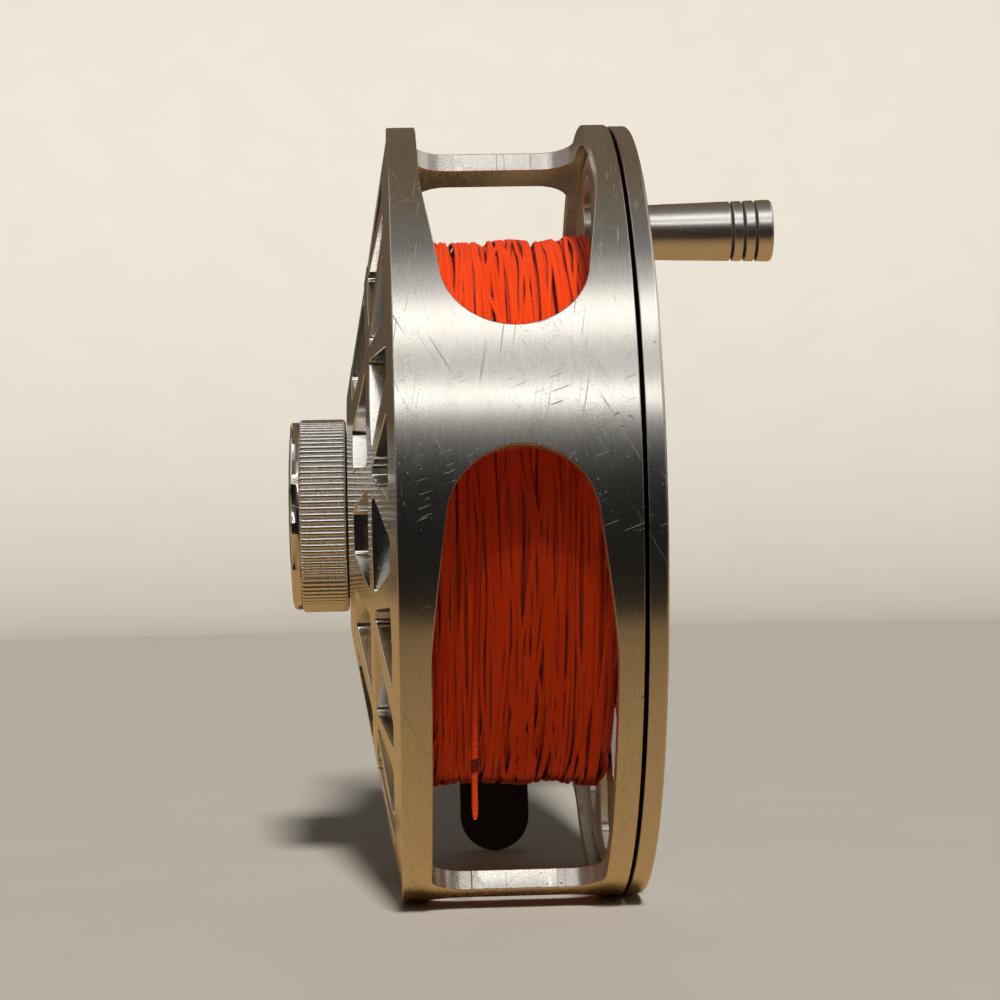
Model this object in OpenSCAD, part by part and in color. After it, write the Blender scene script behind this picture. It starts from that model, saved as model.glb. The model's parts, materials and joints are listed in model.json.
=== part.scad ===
// Large-arbor line reel: a caged frame with an openwork back, a spool of braided
// line with a palming rim and a crank handle, and a sealed disc drag with a one-way
// clutch. The spool axis runs along X, with the drag knob at -X and the handle at +X.
// The reel stands on its rim and on the lower tip of its foot, with +Z up.

/* [Frame] */
// Outer diameter of the frame rings, mm
frame_d = 95; // [90:1:105]
// Wall thickness of the rings and pillars, mm
frame_wall = 2.4; // [2:0.1:3]
// Width of the frame over both rings, mm
frame_w = 26.54; // [25.5:0.1:27.5]
// Width of the ring on the back side, mm
back_ring_w = 3.45; // [3:0.05:4]
// Width of the ring on the handle side, mm
front_ring_w = 2.74; // [2.2:0.02:3.2]
// Angle that the wide front pillar stands above the horizontal, degrees
frame_tilt = 16.7; // [14:0.1:18]
// Half angle of a wide pillar at its waist, degrees
pillar_half_angle = 8.3; // [6:0.1:12]
// Half angle of a narrow crossbar, degrees
crossbar_half_angle = 3.2; // [2:0.1:5]
// Radius of the round end of a window, mm
window_arch_r = 8.3; // [6:0.1:9.5]
// Corner radius at the square end of a window, mm
window_corner_r = 4.3; // [2:0.1:6]
// How far the domed back stands out at its hub, mm
dome_h = 5.5; // [4:0.1:7]

/* [Foot] */
// Length of the reel foot, mm
foot_len = 64; // [60:0.5:66]
// Width of the reel foot, mm
foot_w = 9.6; // [8:0.1:10.5]
// Height of the rod face above the frame ring, mm
foot_h = 11.12; // [10:0.02:12.5]

/* [Spool] */
// Radius of the spool flanges, mm
flange_r = 44.4; // [42:0.1:44.6]
// Outer radius of the palming rim, mm
palm_r = 47.3; // [45:0.1:47.4]
// Outer radius of the arbor that the line is wound on, mm
arbor_r = 22.5; // [21:0.1:26]
// Radius of the wound line, mm
line_r = 33.2; // [28:0.1:38]
// Number of teeth on the click ring
click_teeth = 48; // [24,36,48,60]

/* [Handle] */
// Distance of the handle from the spool axis, mm
handle_crank = 38.2; // [36:0.1:39.5]
// Angle of the handle above the horizontal, on the front side, degrees
handle_angle = 110; // [0:1:180]
// Diameter of the handle at its root, mm
handle_d1 = 6.9; // [6:0.1:8]
// Diameter of the handle at its free end, mm
handle_d2 = 8.0; // [7:0.1:10]
// Distance of the handle's free end from the back face of the frame ring, mm
handle_end = 49.7; // [46:0.1:52]

/* [Drag] */
// Radius of the drag knob over its ribs, mm
knob_r = 11.9; // [11.5:0.1:13]
// Number of ribs on the drag knob
knob_ribs = 96; // [60:4:108]
// Axial travel of the pressure plate from free to full drag, mm
drag_travel = 0.6; // [0.3:0.05:0.7]

/* [Hidden] */
frame_r = frame_d / 2;
ring_in = frame_r - frame_wall;
zc = (back_ring_w + frame_w - front_ring_w) / 2;
win_half = (frame_w - front_ring_w - back_ring_w) / 2;
knob_face_z = -12.9;
// the row frame: centre of the box in X and Y, lowest point of the rim in Z
x_mid = (knob_face_z + handle_end) / 2;
foot_reach = cos(frame_tilt) * (frame_r + foot_h) + sin(frame_tilt) * foot_len / 2;
y_mid = (foot_reach - frame_r) / 2;
handle_phi = 180 - handle_angle;
// seat of the screw head inside the handle
handle_seat = handle_end - 2.7;

// local frame: x is away from the viewer, y is up, z runs along the spool axis
module place() translate([-x_mid, -y_mid, frame_r]) rotate([90, 0, 90]) children();

// a body of revolution from (radius, z) points
module lathe(pts) rotate_extrude($fn = 128) polygon(pts);
module ring(r1, r2, z1, z2) lathe([[r1, z1], [r2, z1], [r2, z2], [r1, z2]]);

// a convex outline with its corners rounded to radius r, from its corner points in
// counter-clockwise order
function unit(v) = v / norm(v);
function nrm(a, b) = let(d = unit(b - a)) [d[1], -d[0]];
function inset(p, i, r) =
    let(n = len(p), a = p[(i + n - 1) % n], b = p[i], c = p[(i + 1) % n],
        n1 = nrm(a, b), n2 = nrm(b, c), k = r / (1 + n1 * n2)) b - k * (n1 + n2);
function turn(u, v) = atan2(u[0] * v[1] - u[1] * v[0], u * v);
function rounded_outline(p, r) = let(n = len(p)) [for (i = [0:n - 1])
    let(n1 = nrm(p[(i + n - 1) % n], p[i]), n2 = nrm(p[i], p[(i + 1) % n]), a1 = atan2(n1[1], n1[0]),
        t = turn(n1, n2), m = max(1, round(t / 20)))
        for (k = [0:m]) inset(p, i, r) + pol(r, a1 + t * k / m)];
module rounded(p, r) polygon(rounded_outline(p, r));
function pol(r, a) = [r * cos(a), r * sin(a)];

// ---- frame -------------------------------------------------------------------

// one window of the cage, between the wide pillar at angle 0 and the crossbar at 90: a
// round end, a taper, the full width and two rounded corners
module window_cut() {
    tip = pillar_half_angle + asin(window_arch_r / frame_r);
    full = pillar_half_angle + 28.4;
    end = 90 - crossbar_half_angle;
    corner = asin(window_corner_r / frame_r);
    taper = frame_r * sin(full - tip);
    slope = (win_half - window_arch_r + 0.1) / taper;
    rotate([0, 0, tip]) translate([frame_r - 7, 0, zc]) rotate([0, 90, 0])
        cylinder(r = window_arch_r, h = 14, $fn = 64);
    rotate([0, 0, full]) translate([frame_r - 7, 0, zc]) rotate([0, 90, 0])
        linear_extrude(14) polygon([[-win_half + slope * (taper + 1.3), -taper - 1.3],
            [win_half - slope * (taper + 1.3), -taper - 1.3], [win_half, 0], [-win_half, 0]]);
    rotate([0, 0, full]) rotate_extrude(angle = end - corner - full, $fn = 96)
        translate([frame_r - 7, zc - win_half]) square([14, 2 * win_half]);
    rotate([0, 0, end - corner]) translate([frame_r - 7, 0, zc]) rotate([0, 90, 0])
        linear_extrude(14) polygon(concat(
            [for (a = [0:11.25:90]) [win_half - window_corner_r, 0] + pol(window_corner_r, a)],
            [for (a = [90:11.25:180]) [window_corner_r - win_half, 0] + pol(window_corner_r, a)]));
}

// the ports of the domed back: an inner ring of arches and an outer ring of triangles
module dome_ports() {
    for (i = [0:11]) rotate([0, 0, 186.5 + 30 * i]) {
        rounded([pol(18.6, -8.2), pol(28.9, -12.3), pol(28.9, 12.3), pol(18.6, 8.2)], 1.1);
    }
    for (i = [0:11]) rotate([0, 0, 201.5 + 30 * i]) {
        rounded([pol(31.6, -1.2), pol(41.4, -6.9), pol(41.9, 0), pol(41.4, 6.9), pol(31.6, 1.2)], 0.55);
    }
    for (i = [0:11]) rotate([0, 0, 186.5 + 30 * i]) {
        rounded([pol(31.3, -10.6), pol(41.9, -2.4), pol(41.9, 2.4), pol(31.3, 10.6)], 0.55);
    }
}

module frame() color([0.74, 0.73, 0.71]) place() difference() {
    union() {
        difference() {
            // cage: domed back, barrel wall and the ring on the handle side
            lathe([[2.99, -dome_h], [14.6, -dome_h], [16.6, -dome_h + 0.35], [frame_r - 1.3, 0],
                [frame_r - 0.35, 0], [frame_r, 0.35], [frame_r, frame_w - 0.3],
                [frame_r - 0.3, frame_w], [ring_in + 0.3, frame_w], [ring_in, frame_w - 0.3],
                [ring_in, 2.3], [16.8, -dome_h + 2.65], [14.6, -dome_h + 2.3], [2.99, -dome_h + 2.3]]);
            rotate([0, 0, -frame_tilt]) for (mx = [0, 1], my = [0, 1])
                mirror([mx, 0, 0]) mirror([0, my, 0]) window_cut();
            translate([0, 0, -8]) linear_extrude(12) dome_ports();
        }
        // wall of the drag housing
        ring(14.5, 17.5, -dome_h + 2.2, 8.6);
    }
    // groove of the snap ring and slots for the tabs of the drag plates
    ring(14.4, 15.2, 7.3, 8.15);
    for (a = [0:90:270]) rotate([0, 0, a + 20]) translate([14, -1.6, -1.2]) cube([1.25, 3.2, 11]);
    // passages of the push pins, and the seats of the two pawl pins
    for (a = [0:120:240]) rotate([0, 0, a]) translate([6, 0, -8]) cylinder(r = 1.05, h = 8, $fn = 32);
    for (a = [100, 152]) rotate([0, 0, a]) translate([16.3, 0, 4]) cylinder(r = 0.75, h = 6, $fn = 32);
    // clearance holes of the foot screws, through the rear pillar
    for (s = [-1, 1]) rotate([0, 0, -frame_tilt]) translate([40, s * 4.6, zc]) rotate([0, 90, 0])
        cylinder(r = 1.25, h = 10, $fn = 32);
}

// ---- foot --------------------------------------------------------------------

// side outline of the foot: x is radial, y along the foot; mirrored at the middle
function foot_side() = let(f = frame_r + foot_h, h = foot_len / 2) [
    [f, 0], [f, h], [f - 1.0, h], [f - 1.5, h - 6], [f - 2.3, h - 14], [f - 3.5, h - 20],
    [f - 5.4, 8.4], [f - 8.2, 7.0], [f - foot_h - 1.5, 6.6], [f - foot_h - 1.5, 0]];

module reel_foot() color([0.13, 0.13, 0.14]) place() rotate([0, 0, -frame_tilt]) difference() {
    intersection() {
        translate([0, 0, zc - foot_w / 2]) linear_extrude(foot_w) let(p = foot_side(), n = len(p))
            polygon(concat([for (i = [1:n - 2]) p[i]], [for (i = [n - 2:-1:1]) [p[i][0], -p[i][1]]]));
        // plan of the foot, with round ends
        translate([frame_r - 3, 0, zc]) rotate([0, 90, 0]) linear_extrude(foot_h + 4) union() {
            square([foot_w, foot_len - foot_w], center = true);
            for (s = [-1, 1]) translate([0, s * (foot_len - foot_w) / 2]) circle(d = foot_w, $fn = 48);
        }
    }
    cylinder(r = frame_r, h = 40, $fn = 128);
    for (s = [-1, 1]) translate([frame_r - 1, s * 4.6, zc]) rotate([0, 90, 0]) {
        cylinder(r = 1.52, h = 14, $fn = 32);
        translate([0, 0, foot_h + 1 - 1.7]) cylinder(r1 = 1.52, r2 = 3.1, h = 1.58, $fn = 48);
        translate([0, 0, foot_h + 1 - 0.12]) cylinder(r = 3.1, h = 1, $fn = 48);
    }
}

// two countersunk screws through the foot into the rear pillar
module foot_screws() color([0.55, 0.55, 0.56]) place() rotate([0, 0, -frame_tilt])
    for (s = [-1, 1]) translate([0, s * 4.6, zc]) rotate([0, 90, 0]) difference() {
        union() {
            translate([0, 0, ring_in + 0.2]) cylinder(r = 1.24, h = frame_wall, $fn = 32);
            translate([0, 0, frame_r + 0.1]) cylinder(r = 1.5, h = foot_h - 1.5, $fn = 32);
            translate([0, 0, frame_r + foot_h - 1.68]) cylinder(r1 = 1.5, r2 = 3.06, h = 1.56, $fn = 48);
        }
        translate([0, 0, frame_r + foot_h - 1.1]) cylinder(r = 1.15, h = 3, $fn = 6);
    }

// ---- spindle and drag ----------------------------------------------------------

module spindle() color([0.62, 0.62, 0.64]) place() lathe([[0, -11.4], [2.7, -11.4], [3.0, -11.1],
    [3.0, -11.0], [2.98, -10.9], [2.98, -3.2], [4.6, -3.2], [4.6, -1.8], [4.0, -1.5], [4.0, 0.0],
    [2.98, 0.0], [2.98, 24.7], [2.7, 25.0], [0, 25.0]]);

module spindle_nut() color([0.6, 0.6, 0.62]) place() difference() {
    translate([0, 0, 22.7]) cylinder(r = 4.8, h = 1.9, $fn = 6);
    translate([0, 0, 22]) cylinder(r = 2.98, h = 4, $fn = 48);
}

// outline of a ribbed rim
function ribs(n, r, d) = [for (i = [0:n - 1]) let(a = 360 * i / n, s = 360 / n)
    each [pol(r - d, a - 0.42 * s), pol(r, a - 0.2 * s), pol(r, a + 0.2 * s)]];

module drag_knob() color([0.78, 0.77, 0.75]) place() difference() {
    translate([0, 0, -11.4]) linear_extrude(5.7) polygon(ribs(knob_ribs, knob_r, 0.28));
    // recess of the face, hole on the spindle, hexagon of the nut, room for the washer
    translate([0, 0, -12]) cylinder(r = 9.0, h = 1.0, $fn = 96);
    translate([0, 0, -12]) cylinder(r = 3.06, h = 6, $fn = 48);
    translate([0, 0, -10.2]) cylinder(r = 7.1, h = 3, $fn = 6);
    translate([0, 0, -7.6]) cylinder(r = 8.3, h = 3, $fn = 64);
    ring(9.35, 10.65, -6.8, -5);
}

// polished face of the drag knob, with a scalloped edge
module knob_face() color([0.8, 0.79, 0.77]) place() difference() {
    lathe([[0, -12.9], [4, -12.86], [8, -12.72], [10.7, -12.5], [11.4, -12.3], [11.6, -12.1],
        [11.6, -11.41], [8.98, -11.41], [8.98, -11.05], [0, -11.05]]);
    translate([0, 0, -12.05]) cylinder(r = 5.4, h = 2, $fn = 64);
    for (i = [0:11]) rotate([0, 0, 30 * i + 22.7]) translate([19.0, 0, -13.5])
        cylinder(r = 8.0, h = 4, $fn = 64);
}

module knob_nut() color([0.72, 0.58, 0.28]) place() difference() {
    translate([0, 0, -9.9]) cylinder(r = 7.0, h = 2.4, $fn = 6);
    translate([0, 0, -11]) cylinder(r = 3.04, h = 5, $fn = 48);
}

// low head screw that keeps the knob on the spindle
module knob_screw() color([0.55, 0.55, 0.57]) place() difference() {
    translate([0, 0, -12.0]) cylinder(r = 5.0, h = 0.59, $fn = 64);
    translate([0, 0, -12.3]) cylinder(r = 1.6, h = 0.6, $fn = 6);
}

module knob_o_ring() color([0.08, 0.08, 0.08]) place()
    rotate_extrude($fn = 96) translate([10, -6.17]) circle(r = 0.6, $fn = 24);

module thrust_washer() color([0.66, 0.66, 0.68]) place() ring(3.3, 7.6, -7.4, -6.6);

module push_pins() color([0.6, 0.6, 0.62]) place() for (a = [0:120:240]) rotate([0, 0, a])
    translate([6, 0, -6.6]) cylinder(r = 1.0, h = 3.9, $fn = 32);

module pressure_plate() color([0.64, 0.64, 0.66]) place() ring(4.8, 14.2, -2.7, -1.5);

// two cone springs, large edges together
module drag_springs() color([0.5, 0.5, 0.52]) place() {
    lathe([[9.0, -1.5], [9.2, -1.5], [13.9, -0.9], [13.9, -0.7], [13.7, -0.7], [9.0, -1.3]]);
    lathe([[9.0, 0.2], [9.2, 0.2], [13.9, -0.4], [13.9, -0.6], [13.7, -0.6], [9.0, 0.0]]);
}

// steel plates, kept from turning by four tabs each
module drag_plates() color([0.66, 0.66, 0.68]) place() for (z = [0.25, 2.35, 4.45]) difference() {
    translate([0, 0, z]) linear_extrude(1.0) union() {
        circle(r = 14.2, $fn = 96);
        for (a = [0:90:270]) rotate([0, 0, a + 20]) translate([13, -1.5]) square([2.1, 3]);
    }
    translate([0, 0, z - 1]) cylinder(r = 8.6, h = 3, $fn = 64);
}

// friction discs, turned by the hexagon of the clutch hub
module friction_discs() color([0.1, 0.1, 0.11]) place() for (z = [1.3, 3.4]) difference() {
    ring(3, 14.0, z, z + 1.0);
    translate([0, 0, z - 1]) cylinder(r = 8.3, h = 3, $fn = 6);
}

module drag_cover() color([0.7, 0.69, 0.67]) place()
    lathe([[8.6, 5.5], [14.45, 5.5], [14.45, 7.28], [8.0, 7.28], [8.0, 7.0], [8.6, 7.0]]);

module cover_snap_ring() color([0.5, 0.5, 0.52]) place() rotate([0, 0, 35])
    rotate_extrude(angle = 325, $fn = 96) translate([13.2, 7.33]) square([1.9, 0.78]);

module drag_seal() color([0.07, 0.07, 0.07]) place()
    lathe([[7.86, 5.6], [8.58, 5.6], [8.58, 6.95], [8.2, 6.95], [8.1, 6.2]]);

module clutch_hub() color([0.68, 0.68, 0.7]) place() difference() {
    union() {
        cylinder(r = 8.2, h = 5.4, $fn = 6);
        lathe([[0, 5.3], [7.8, 5.3], [7.8, 8.0], [7.5, 8.3], [7.5, 22.3], [6.8, 22.3], [6.8, 26.0],
            [6.6, 26.2], [0, 26.2]]);
    }
    translate([0, 0, -1]) cylinder(r = 3.5, h = 40, $fn = 48);
    translate([0, 0, -1]) cylinder(r = 5.5, h = 4.05, $fn = 64);
    translate([0, 0, 19.6]) cylinder(r = 5.5, h = 10, $fn = 64);
}

// a shielded ball bearing: two races with the shields recessed between them
module ball_bearing(r1, r2, w) {
    a = r1 + (r2 - r1) * 0.3;
    b = r2 - (r2 - r1) * 0.26;
    lathe([[r1, 0], [a, 0], [a, 0.25], [b, 0.25], [b, 0], [r2, 0], [r2, w], [b, w], [b, w - 0.25],
        [a, w - 0.25], [a, w], [r1, w]]);
}

module hub_bearings() color([0.7, 0.7, 0.72]) place() for (z = [0.1, 19.62])
    translate([0, 0, z]) ball_bearing(3.0, 5.49, 2.9);

// ---- spool -------------------------------------------------------------------

// ports of the spool face: twelve arches in the flange, twelve holes in the web
module spool_ports() {
    for (i = [0:11]) rotate([0, 0, handle_phi + 15 + 30 * i]) {
        rounded([pol(25.6, -8.6), pol(40.2, -9.3), pol(41.9, -3), pol(41.9, 3), pol(40.2, 9.3), pol(25.6, 8.6)], 1.6);
        translate([17.1, 0]) circle(r = 2.5, $fn = 32);
    }
}

module spool() color([0.76, 0.75, 0.73]) place() difference() {
    union() {
        difference() {
            lathe([[10.5, 8.8], [11.6, 8.8], [11.6, 10.8], [13.0, 11.2], [13.0, 23.4], [20.9, 23.4],
                [20.9, 2.8], [21.2, 2.5], [flange_r - 0.3, 2.5], [flange_r, 2.8], [flange_r, 3.3], [flange_r - 0.3, 3.6],
                [arbor_r, 3.6], [arbor_r, 25.1], [flange_r - 0.4, 25.1], [flange_r, 25.5],
                [flange_r, 27.05], [palm_r - 0.25, 27.05], [palm_r, 27.3], [palm_r, 28.85],
                [palm_r - 0.35, 29.2], [44.3, 29.2], [43.6, 28.5], [43.2, 27.0], [23.4, 27.0],
                [21.6, 25.9], [15.6, 25.9], [14.4, 26.7], [10.5, 26.7]]);
            translate([0, 0, 22]) linear_extrude(10) spool_ports();
        }
        // bosses of the handle and of the counterweight
        for (a = [0, 180]) rotate([0, 0, handle_phi + a]) translate([handle_crank, 0, 26.0])
            cylinder(r = 4.7, h = a == 0 ? 3.3 : 2.2, $fn = 64);
    }
    rotate([0, 0, handle_phi]) translate([handle_crank, 0, 25.7]) cylinder(r = 1.2, h = 5, $fn = 32);
    rotate([0, 0, handle_phi + 180]) translate([handle_crank, 0, 25.7]) cylinder(r = 1.2, h = 5, $fn = 32);
}

// one-way clutch: a drawn cup with twelve rollers
module roller_clutch() color([0.6, 0.6, 0.62]) place() {
    lathe([[8.3, 10.6], [10.49, 10.6], [10.49, 18.1], [8.3, 18.1], [8.3, 17.6], [9.6, 17.6],
        [9.6, 11.1], [8.3, 11.1]]);
    for (i = [0:11]) rotate([0, 0, 30 * i]) translate([8.54, 0, 11.4]) cylinder(r = 0.98, h = 5.9, $fn = 24);
}

module spool_bearing() color([0.7, 0.7, 0.72]) place()
    translate([0, 0, 18.3]) ball_bearing(7.53, 10.49, 3.9);

module click_ring() color([0.6, 0.6, 0.62]) place() difference() {
    translate([0, 0, 9.0]) linear_extrude(1.6) polygon([for (i = [0:click_teeth - 1])
        let(a = 360 * i / click_teeth, s = 360 / click_teeth)
        each [pol(12.6, a + 116.25 - 0.5 * s), pol(13.3, a + 116.25 - 0.16 * s), pol(13.3, a + 116.25 + 0.16 * s)]]);
    translate([0, 0, 8]) cylinder(r = 11.61, h = 4, $fn = 96);
}

module click_pawl() color([0.62, 0.62, 0.64]) place() difference() {
    union() {
        rotate([0, 0, 100]) translate([16.3, 0, 9.1]) cylinder(r = 1.5, h = 1.4, $fn = 32);
        translate([0, 0, 9.1]) linear_extrude(1.4) polygon([pol(15.35, 103.6), pol(14.4, 112), pol(13.9, 123),
            pol(13.75, 133.2), pol(12.8, 135), pol(13.75, 136.8), pol(15.0, 137), pol(15.8, 124),
            pol(17.0, 108), pol(17.2, 103.6)]);
    }
    rotate([0, 0, 100]) translate([16.3, 0, 8]) cylinder(r = 0.79, h = 4, $fn = 32);
}

module pawl_pins() color([0.6, 0.6, 0.62]) place() for (a = [100, 152]) rotate([0, 0, a])
    translate([16.3, 0, 4.05]) cylinder(r = 0.74, h = 6.6, $fn = 32);

// leaf spring, bent round its pin and pressing on the pawl
module pawl_spring() color([0.55, 0.55, 0.57]) place() {
    translate([0, 0, 9.3]) linear_extrude(1.0) polygon([pol(16.6, 149.2), pol(15.95, 143), pol(15.3, 137),
        pol(15.22, 132), pol(15.5, 132), pol(15.58, 137), pol(16.2, 142.8), pol(16.9, 149.2)]);
    rotate([0, 0, 152]) translate([16.3, 0, 9.3]) ring(0.76, 1.1, 0, 1.0);
}

module spool_cap() color([0.78, 0.77, 0.75]) place() difference() {
    lathe([[0, 30.9], [6, 30.8], [11.2, 30.3], [12.6, 29.6], [13.0, 28.6], [13.0, 27.4], [12.6, 27.0],
        [10.3, 27.0], [10.3, 25.9], [9.3, 25.9], [9.3, 24.7], [10.3, 24.7], [10.3, 22.35], [6.85, 22.35],
        [6.85, 26.4], [5.4, 26.6], [5.4, 28.2], [0, 28.6]]);
    for (i = [0:11]) rotate([0, 0, 30 * i]) translate([14.15, 0, 26]) cylinder(r = 1.75, h = 6, $fn = 32);
}

module cap_o_ring() color([0.08, 0.08, 0.08]) place()
    rotate_extrude($fn = 96) translate([9.88, 25.3]) circle(r = 0.55, $fn = 24);

// the wound line: a body of revolution that the turns of line fill
module line_pack() color([0.92, 0.22, 0.06]) place() lathe([[arbor_r + 0.02, 3.66], [line_r - 0.6, 3.66],
    [line_r - 0.1, 4.6], [line_r - 0.5, 7.5], [line_r - 0.35, 11], [line_r, 15], [line_r - 0.4, 18.5],
    [line_r + 0.3, 21.5], [line_r + 0.5, 24], [line_r - 0.2, 25.04], [arbor_r + 0.02, 25.04]]);

// free end of the line: it lies down the front of the winding, then hangs
end_r = 0.36;
end_pts = [[-32.6, 2.0, 9.6], [-33.2, -1.0, 9.5], [-33.45, -4.0, 9.3], [-33.2, -7.0, 9.1], [-32.5, -10.0, 9.0],
    [-31.3, -13.0, 8.9], [-29.9, -16.0, 8.8], [-28.3, -19.0, 8.7], [-26.9, -22.0, 8.65],
    [-25.8, -25.0, 8.6], [-24.9, -28.0, 8.55], [-24.3, -31.0, 8.5], [-24.0, -33.5, 8.5], [-23.9, -35.5, 8.5]];
function tangent(p, i) = unit(p[min(i + 1, len(p) - 1)] - p[max(i - 1, 0)]);
function side(t) = unit(cross(t, [0, 0, 1]));
module tube(p, r, n) {
    m = len(p);
    pts = [for (i = [0:m - 1]) let(t = tangent(p, i), a = side(t), b = cross(t, a))
        for (k = [0:n - 1]) p[i] + r * (cos(360 * k / n) * a + sin(360 * k / n) * b)];
    polyhedron(pts, concat(
        [[for (k = [n - 1:-1:0]) k]],
        [for (i = [0:m - 2], k = [0:n - 1]) [i * n + k, i * n + (k + 1) % n, (i + 1) * n + (k + 1) % n, (i + 1) * n + k]],
        [[for (k = [0:n - 1]) (m - 1) * n + k]]));
}
module line_end() color([0.9, 0.2, 0.06]) place() tube(end_pts, end_r, 8);

// ---- handle ------------------------------------------------------------------

module at_handle() place() rotate([0, 0, handle_phi]) translate([handle_crank, 0, 0]) children();

// tapered handle with three narrow grooves near its end
function handle_rad(z) = handle_d1 / 2 + (handle_d2 - handle_d1) / 2 * (z - 29.9) / (handle_end - 29.9);
module handle() color([0.8, 0.79, 0.77]) at_handle() lathe(concat(
    [[2.2, 29.9], [handle_d1 / 2 - 0.3, 29.9], [handle_d1 / 2, 30.2]],
    [for (z = [handle_end - 5.3, handle_end - 3.75, handle_end - 2.2]) let(r = handle_rad(z))
        each [[r, z - 0.15], [r - 0.45, z - 0.15], [r - 0.45, z + 0.15], [r, z + 0.15]]],
    [[handle_d2 / 2, handle_end - 0.35], [handle_d2 / 2 - 0.35, handle_end], [3.0, handle_end],
        [3.0, handle_seat], [2.2, handle_seat]]));

module handle_bushes() color([0.72, 0.58, 0.28]) at_handle() {
    ring(1.54, 2.19, 29.95, 33.95);
    ring(1.54, 2.19, handle_seat - 4.1, handle_seat - 0.1);
}

module handle_washer() color([0.6, 0.6, 0.62]) at_handle() ring(1.56, 3.2, 29.35, 29.85);

// shoulder screw that the handle turns on
module handle_screw() color([0.6, 0.6, 0.62]) at_handle() difference() {
    union() {
        translate([0, 0, 25.8]) cylinder(r = 1.19, h = 4, $fn = 32);
        translate([0, 0, 29.3]) cylinder(r = 1.5, h = handle_seat - 29.1, $fn = 48);
        lathe([[0, handle_seat + 0.2], [2.7, handle_seat + 0.2], [2.7, handle_seat + 1.6],
            [2.4, handle_seat + 1.9], [0, handle_seat + 1.9]]);
    }
    translate([0, 0, handle_seat + 0.7]) cylinder(r = 1.3, h = 4, $fn = 6);
}

module at_weight() place() rotate([0, 0, handle_phi + 180]) translate([handle_crank, 0, 0]) children();

// steel disc that balances the handle
module counterweight() color([0.6, 0.6, 0.62]) at_weight()
    lathe([[1.3, 28.2], [4.6, 28.2], [4.6, 29.9], [4.2, 30.3], [2.6, 30.3], [2.6, 29.3], [1.3, 29.3]]);

module counterweight_screw() color([0.5, 0.5, 0.52]) at_weight() difference() {
    union() {
        translate([0, 0, 25.8]) cylinder(r = 1.19, h = 4, $fn = 32);
        translate([0, 0, 29.32]) cylinder(r = 2.4, h = 0.9, $fn = 48);
    }
    translate([0, 0, 29.6]) cylinder(r = 1.1, h = 3, $fn = 6);
}

frame();
reel_foot();
foot_screws();
spindle();
spindle_nut();
drag_knob();
knob_face();
knob_nut();
knob_screw();
knob_o_ring();
thrust_washer();
push_pins();
pressure_plate();
drag_springs();
drag_plates();
friction_discs();
drag_cover();
cover_snap_ring();
drag_seal();
clutch_hub();
hub_bearings();
spool();
roller_clutch();
spool_bearing();
spool_cap();
cap_o_ring();
click_ring();
click_pawl();
pawl_pins();
pawl_spring();
handle();
handle_bushes();
handle_washer();
handle_screw();
counterweight();
counterweight_screw();
line_pack();
line_end();
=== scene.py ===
"""Looks of the line reel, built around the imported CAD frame."""
import math
import random

import bpy
import numpy as np
from mathutils import Matrix, Vector
from mathutils.geometry import delaunay_2d_cdt
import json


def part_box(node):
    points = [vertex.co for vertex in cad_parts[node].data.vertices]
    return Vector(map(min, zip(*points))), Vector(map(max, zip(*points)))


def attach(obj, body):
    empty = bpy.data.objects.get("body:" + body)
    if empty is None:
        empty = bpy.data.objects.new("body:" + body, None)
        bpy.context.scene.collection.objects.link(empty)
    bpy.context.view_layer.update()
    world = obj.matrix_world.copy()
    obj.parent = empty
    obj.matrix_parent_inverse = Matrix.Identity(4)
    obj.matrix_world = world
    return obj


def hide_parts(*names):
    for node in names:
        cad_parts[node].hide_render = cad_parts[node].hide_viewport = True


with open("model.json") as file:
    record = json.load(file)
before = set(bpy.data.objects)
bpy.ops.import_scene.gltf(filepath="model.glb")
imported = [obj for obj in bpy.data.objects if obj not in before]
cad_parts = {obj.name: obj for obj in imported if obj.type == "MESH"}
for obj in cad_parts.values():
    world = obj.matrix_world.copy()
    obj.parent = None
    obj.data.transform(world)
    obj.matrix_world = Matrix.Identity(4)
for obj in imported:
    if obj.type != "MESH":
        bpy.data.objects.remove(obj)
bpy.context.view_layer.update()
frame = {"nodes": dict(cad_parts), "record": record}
scene = bpy.context.scene
nodes = frame["nodes"]

# the CAD's own frame: x away from the viewer, y up, z along the spool axis, in mm
X_MID, Y_MID, R_F = -12.9 - 1000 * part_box("knob_face")[0][0], 8.921546, 47.5
TILT = 16.7
h_lo, h_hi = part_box("handle")
HANDLE_PHI = math.degrees(math.atan2(500 * (h_lo[2] + h_hi[2]) - R_F, 500 * (h_lo[1] + h_hi[1]) + Y_MID))
HANDLE_END = 1000 * h_hi[0] + X_MID


def row(p):
    p = np.asarray(p, float)
    return np.stack([p[..., 2] - X_MID, p[..., 0] - Y_MID, p[..., 1] + R_F], -1) * 0.001


def rown(n):
    n = np.asarray(n, float)
    return np.stack([n[..., 2], n[..., 0], n[..., 1]], -1)


# ---- camera -------------------------------------------------------------------------


def rot(axis, a):
    return np.array(Matrix.Rotation(a, 3, axis))


turn = rot("Z", -0.0449) @ rot("X", 0.0111) @ rot("Y", 0.0217)
cam_data = bpy.data.cameras.new("camera")
cam = bpy.data.objects.new("camera", cam_data)
scene.collection.objects.link(cam)
m = Matrix.Identity(4)
for i in range(3):
    m[i][0], m[i][1], m[i][2] = turn[i, 0], turn[i, 2], -turn[i, 1]
m[0][3], m[1][3], m[2][3] = (-1.829 - X_MID) * 0.001, -0.344210, 0.045272
cam.matrix_world = m
cam_data.lens, cam_data.sensor_width = 97.2, 36
cam_data.clip_start, cam_data.clip_end = 0.01, 20
scene.camera = cam

# ---- mesh building --------------------------------------------------------------------


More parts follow.
